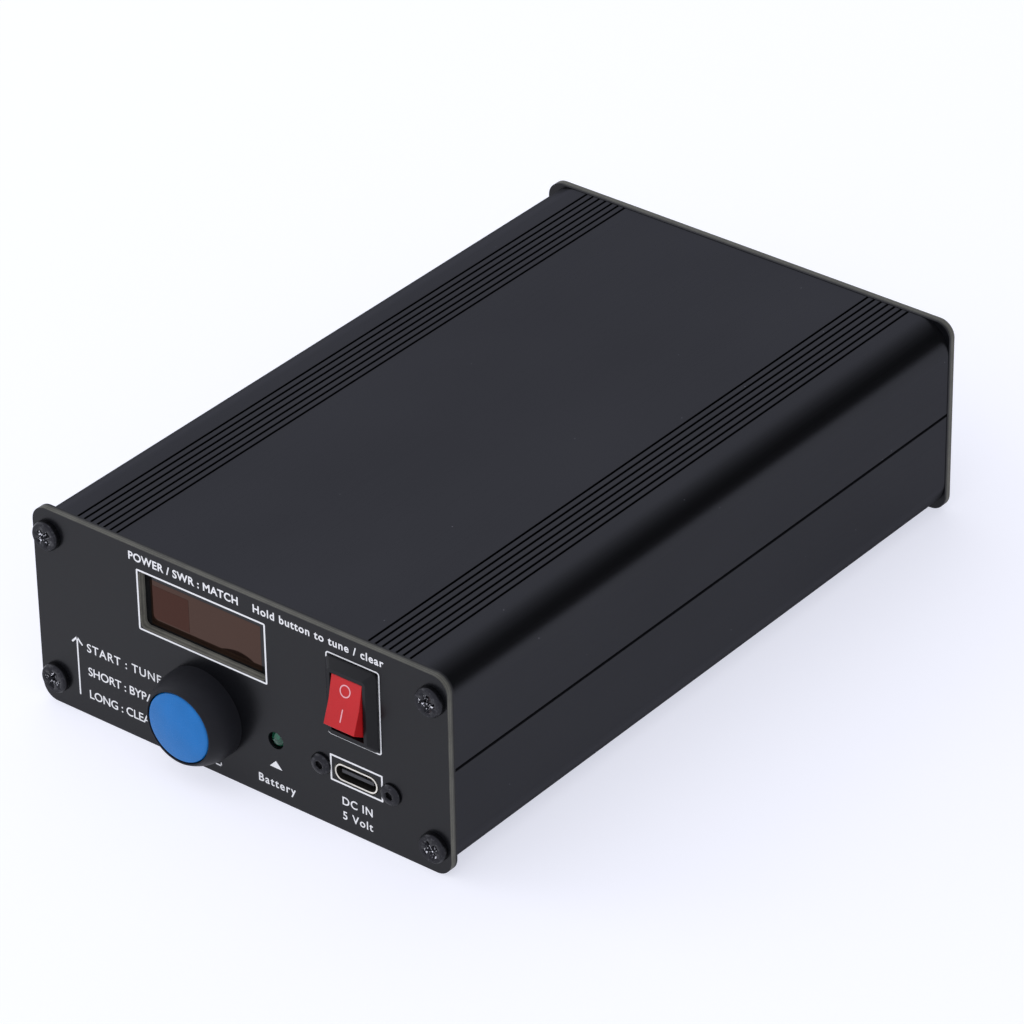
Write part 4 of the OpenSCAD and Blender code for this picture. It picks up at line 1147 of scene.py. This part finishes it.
def build_toroid_windings():
    """Wire wound round each core's rounded section, with both ends down to the board."""
    core_low, core_high = corners("toroid_cores")
    wire = 0.25
    clear = wire + 0.08
    turns = 9.5
    step = math.radians(30)
    outer = (core_high.x - core_low.x) / 2
    inner = 2.6
    middle_radius = (outer + inner) / 2
    half_wide = (outer - inner) / 2 + clear
    half_high = (core_high.z - core_low.z) / 2 + clear
    squareness = 6
    centre_x = (core_low.x + core_high.x) / 2
    centre_z = (core_low.z + core_high.z) / 2
    board_z = corners("main_board")[1].z
    cores = 4
    pitch = (core_high.y - core_low.y - 2 * outer) / (cores - 1)
    routes = []
    for k in range(cores):
        centre_y = core_low.y + outer + pitch * k
        count = int(turns * WINDING_STEPS)
        route = []
        for i in range(count + 1):
            turn = math.tau * i / WINDING_STEPS
            wide, tall = abs(math.cos(turn)) / half_wide, abs(math.sin(turn)) / half_high
            reach = (wide ** squareness + tall ** squareness) ** (-1 / squareness)
            radius = middle_radius + reach * math.cos(turn)
            round_core = step * i / WINDING_STEPS
            route.append(Vector((centre_x + radius * math.cos(round_core),
                                 centre_y + radius * math.sin(round_core),
                                 centre_z + reach * math.sin(turn))))
        first, last = route[0], route[-1]
        routes.append([Vector((first.x, first.y, board_z))] + route + [Vector((last.x, last.y, board_z))])
    sweep_all("toroid_windings_wound", routes, wire, "copper", "toroid_windings")


def build_spring():
    """The button's return spring, from the floor of the plunger's hollow back to the switch's rear. Its CAD node
    is as short as the spring ever gets; here it is built longer, at its length at rest."""
    low, high = corners("button_spring")
    seat_depth = 2.2
    front_y = corners("button_plunger")[1].y - seat_depth
    wire = 0.22
    radius = (high.x - low.x) / 2 - wire
    length = high.y - front_y - 2 * wire
    turns = 6
    closed = 2 * wire
    count = turns * WINDING_STEPS
    route = []
    for i in range(count + 1):
        turn = i / WINDING_STEPS
        active = max(0.0, min(1.0, (turn - 1) / (turns - 2)))
        ends = min(turn, 1) + max(turn - turns + 1, 0)
        along = closed * ends + (length - 2 * closed) * active
        angle = math.tau * turn
        route.append(Vector((BUTTON.x + radius * math.cos(angle), front_y + wire + along,
                             BUTTON.z + radius * math.sin(angle))))
    piece = sweep_all("button_spring_wound", [route], wire, "steel_plated", "button_spring")
    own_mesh(piece)


EASED_INSIDE = {
    "main_board": 0.1, "tuning_relays": 0.3, "toroid_cores": 0.45, "tuning_capacitors": 0.15,
    "coupler_core": 0.4, "coupler_windings": 0.05, "controller_chip": 0.12, "driver_chips": 0.12,
    "battery_cell": 0.5, "battery_holder": 0.3, "battery_contacts": 0.1, "wire_plugs": 0.2,
    "display_board": 0.08, "display_header": 0.15, "display_pins": 0.08, "display_tape": 0.15,
    "usb_board": 0.08, "usb_flange": 0.2, "button_washer": 0.08, "button_nut": 0.3,
    "button_plunger": 0.15, "button_contact": 0.06, "button_terminals": 0.07, "rocker_plunger": 0.08,
    "switch_contact": 0.08, "switch_terminals": 0.08, "charge_led_leads": 0.08,
    "bnc_solder_tags": 0.06, "bnc_nuts": 0.25,
}


BODIES = frame["record"]["behaviour"]["bodies"]
BODY_OF = {name: body for body, names in BODIES.items() for name in names}


def slot_of(cad):
    return cad.material_slots[0].material.name.split(".")[0]


def ease_inside():
    """The pieces inside keep their CAD shapes, with their edges eased."""
    for name, width in EASED_INSIDE.items():
        ease(name, width, slot_of(NODES[name]), BODY_OF[name])


def paint_cad_nodes():
    """Every CAD node that still shows takes the finish of its own slot."""
    for cad in NODES.values():
        if cad.hide_render:
            continue
        finish = FINISH[slot_of(cad)]
        for slot in cad.material_slots:
            slot.material = finish


# ---- Stage ----


DAYLIGHT = (0.98, 1.0, 1.13)
SHADE_CENTRE = Vector((0.61, 0.67, 0.41)).normalized()


def add_floor():
    size = 6
    mesh = bpy.data.meshes.new("floor")
    bm = bmesh.new()
    bmesh.ops.create_grid(bm, x_segments=1, y_segments=1, size=size)
    bmesh.ops.translate(bm, verts=bm.verts, vec=(0, 0, -0.0001))
    bm.to_mesh(mesh)
    bm.free()
    floor = link("floor", mesh)
    f = Finish("floor_white", (0.49, 0.485, 0.47), Roughness=1.0, Specular_IOR_Level=0.0)
    f.set("Emission Color", (*DAYLIGHT, 1))
    f.set("Emission Strength", 0.6)
    mesh.materials.append(f.data)


def add_world():
    """A bright room all round, except for a dark corner behind the object on its right."""
    world = bpy.data.worlds.new("studio")
    scene.world = world
    world.use_nodes = True
    tree = world.node_tree
    towards = node(tree, "ShaderNodeTexCoord").outputs["Generated"]
    inputs = {0: towards, 1: tuple(SHADE_CENTRE)}
    nearness = node(tree, "ShaderNodeVectorMath", inputs, operation="DOT_PRODUCT").outputs["Value"]
    inputs = {"Value": nearness, "From Min": 0.40, "From Max": 0.97, "To Min": 1.0, "To Max": 0.0}
    open_side = node(tree, "ShaderNodeMapRange", inputs).outputs["Result"]
    height = node(tree, "ShaderNodeSeparateXYZ", {0: towards}).outputs["Z"]
    inputs = {"Value": height, "From Min": 0.05, "From Max": 0.13, "To Min": 1.0, "To Max": 0.0}
    low = node(tree, "ShaderNodeMapRange", inputs).outputs["Result"]
    strength = node(tree, "ShaderNodeMath", {0: open_side, 1: low}, operation="MAXIMUM").outputs[0]
    background = tree.nodes["Background"]
    background.inputs["Color"].default_value = (*DAYLIGHT, 1)
    tree.links.new(strength, background.inputs["Strength"])


def add_light():
    add_world()
    add_softbox("left_softbox", -65, 28, 1.3, (0.7, 0.7), 2.2)


scene.view_settings.view_transform = "Standard"
add_camera()
add_light()
add_floor()
build_case()
build_panel_screws("front_panel_screws", FRONT_Y, 1)
build_panel_screws("rear_panel_screws", REAR_Y, -1)
build_front_print()
build_rear_print()
build_button_housing()
build_button_cap()
build_switch()
build_port()
build_light()
build_display()
build_rear()
build_air_coils()
build_toroid_windings()
build_spring()
ease_inside()
paint_cad_nodes()
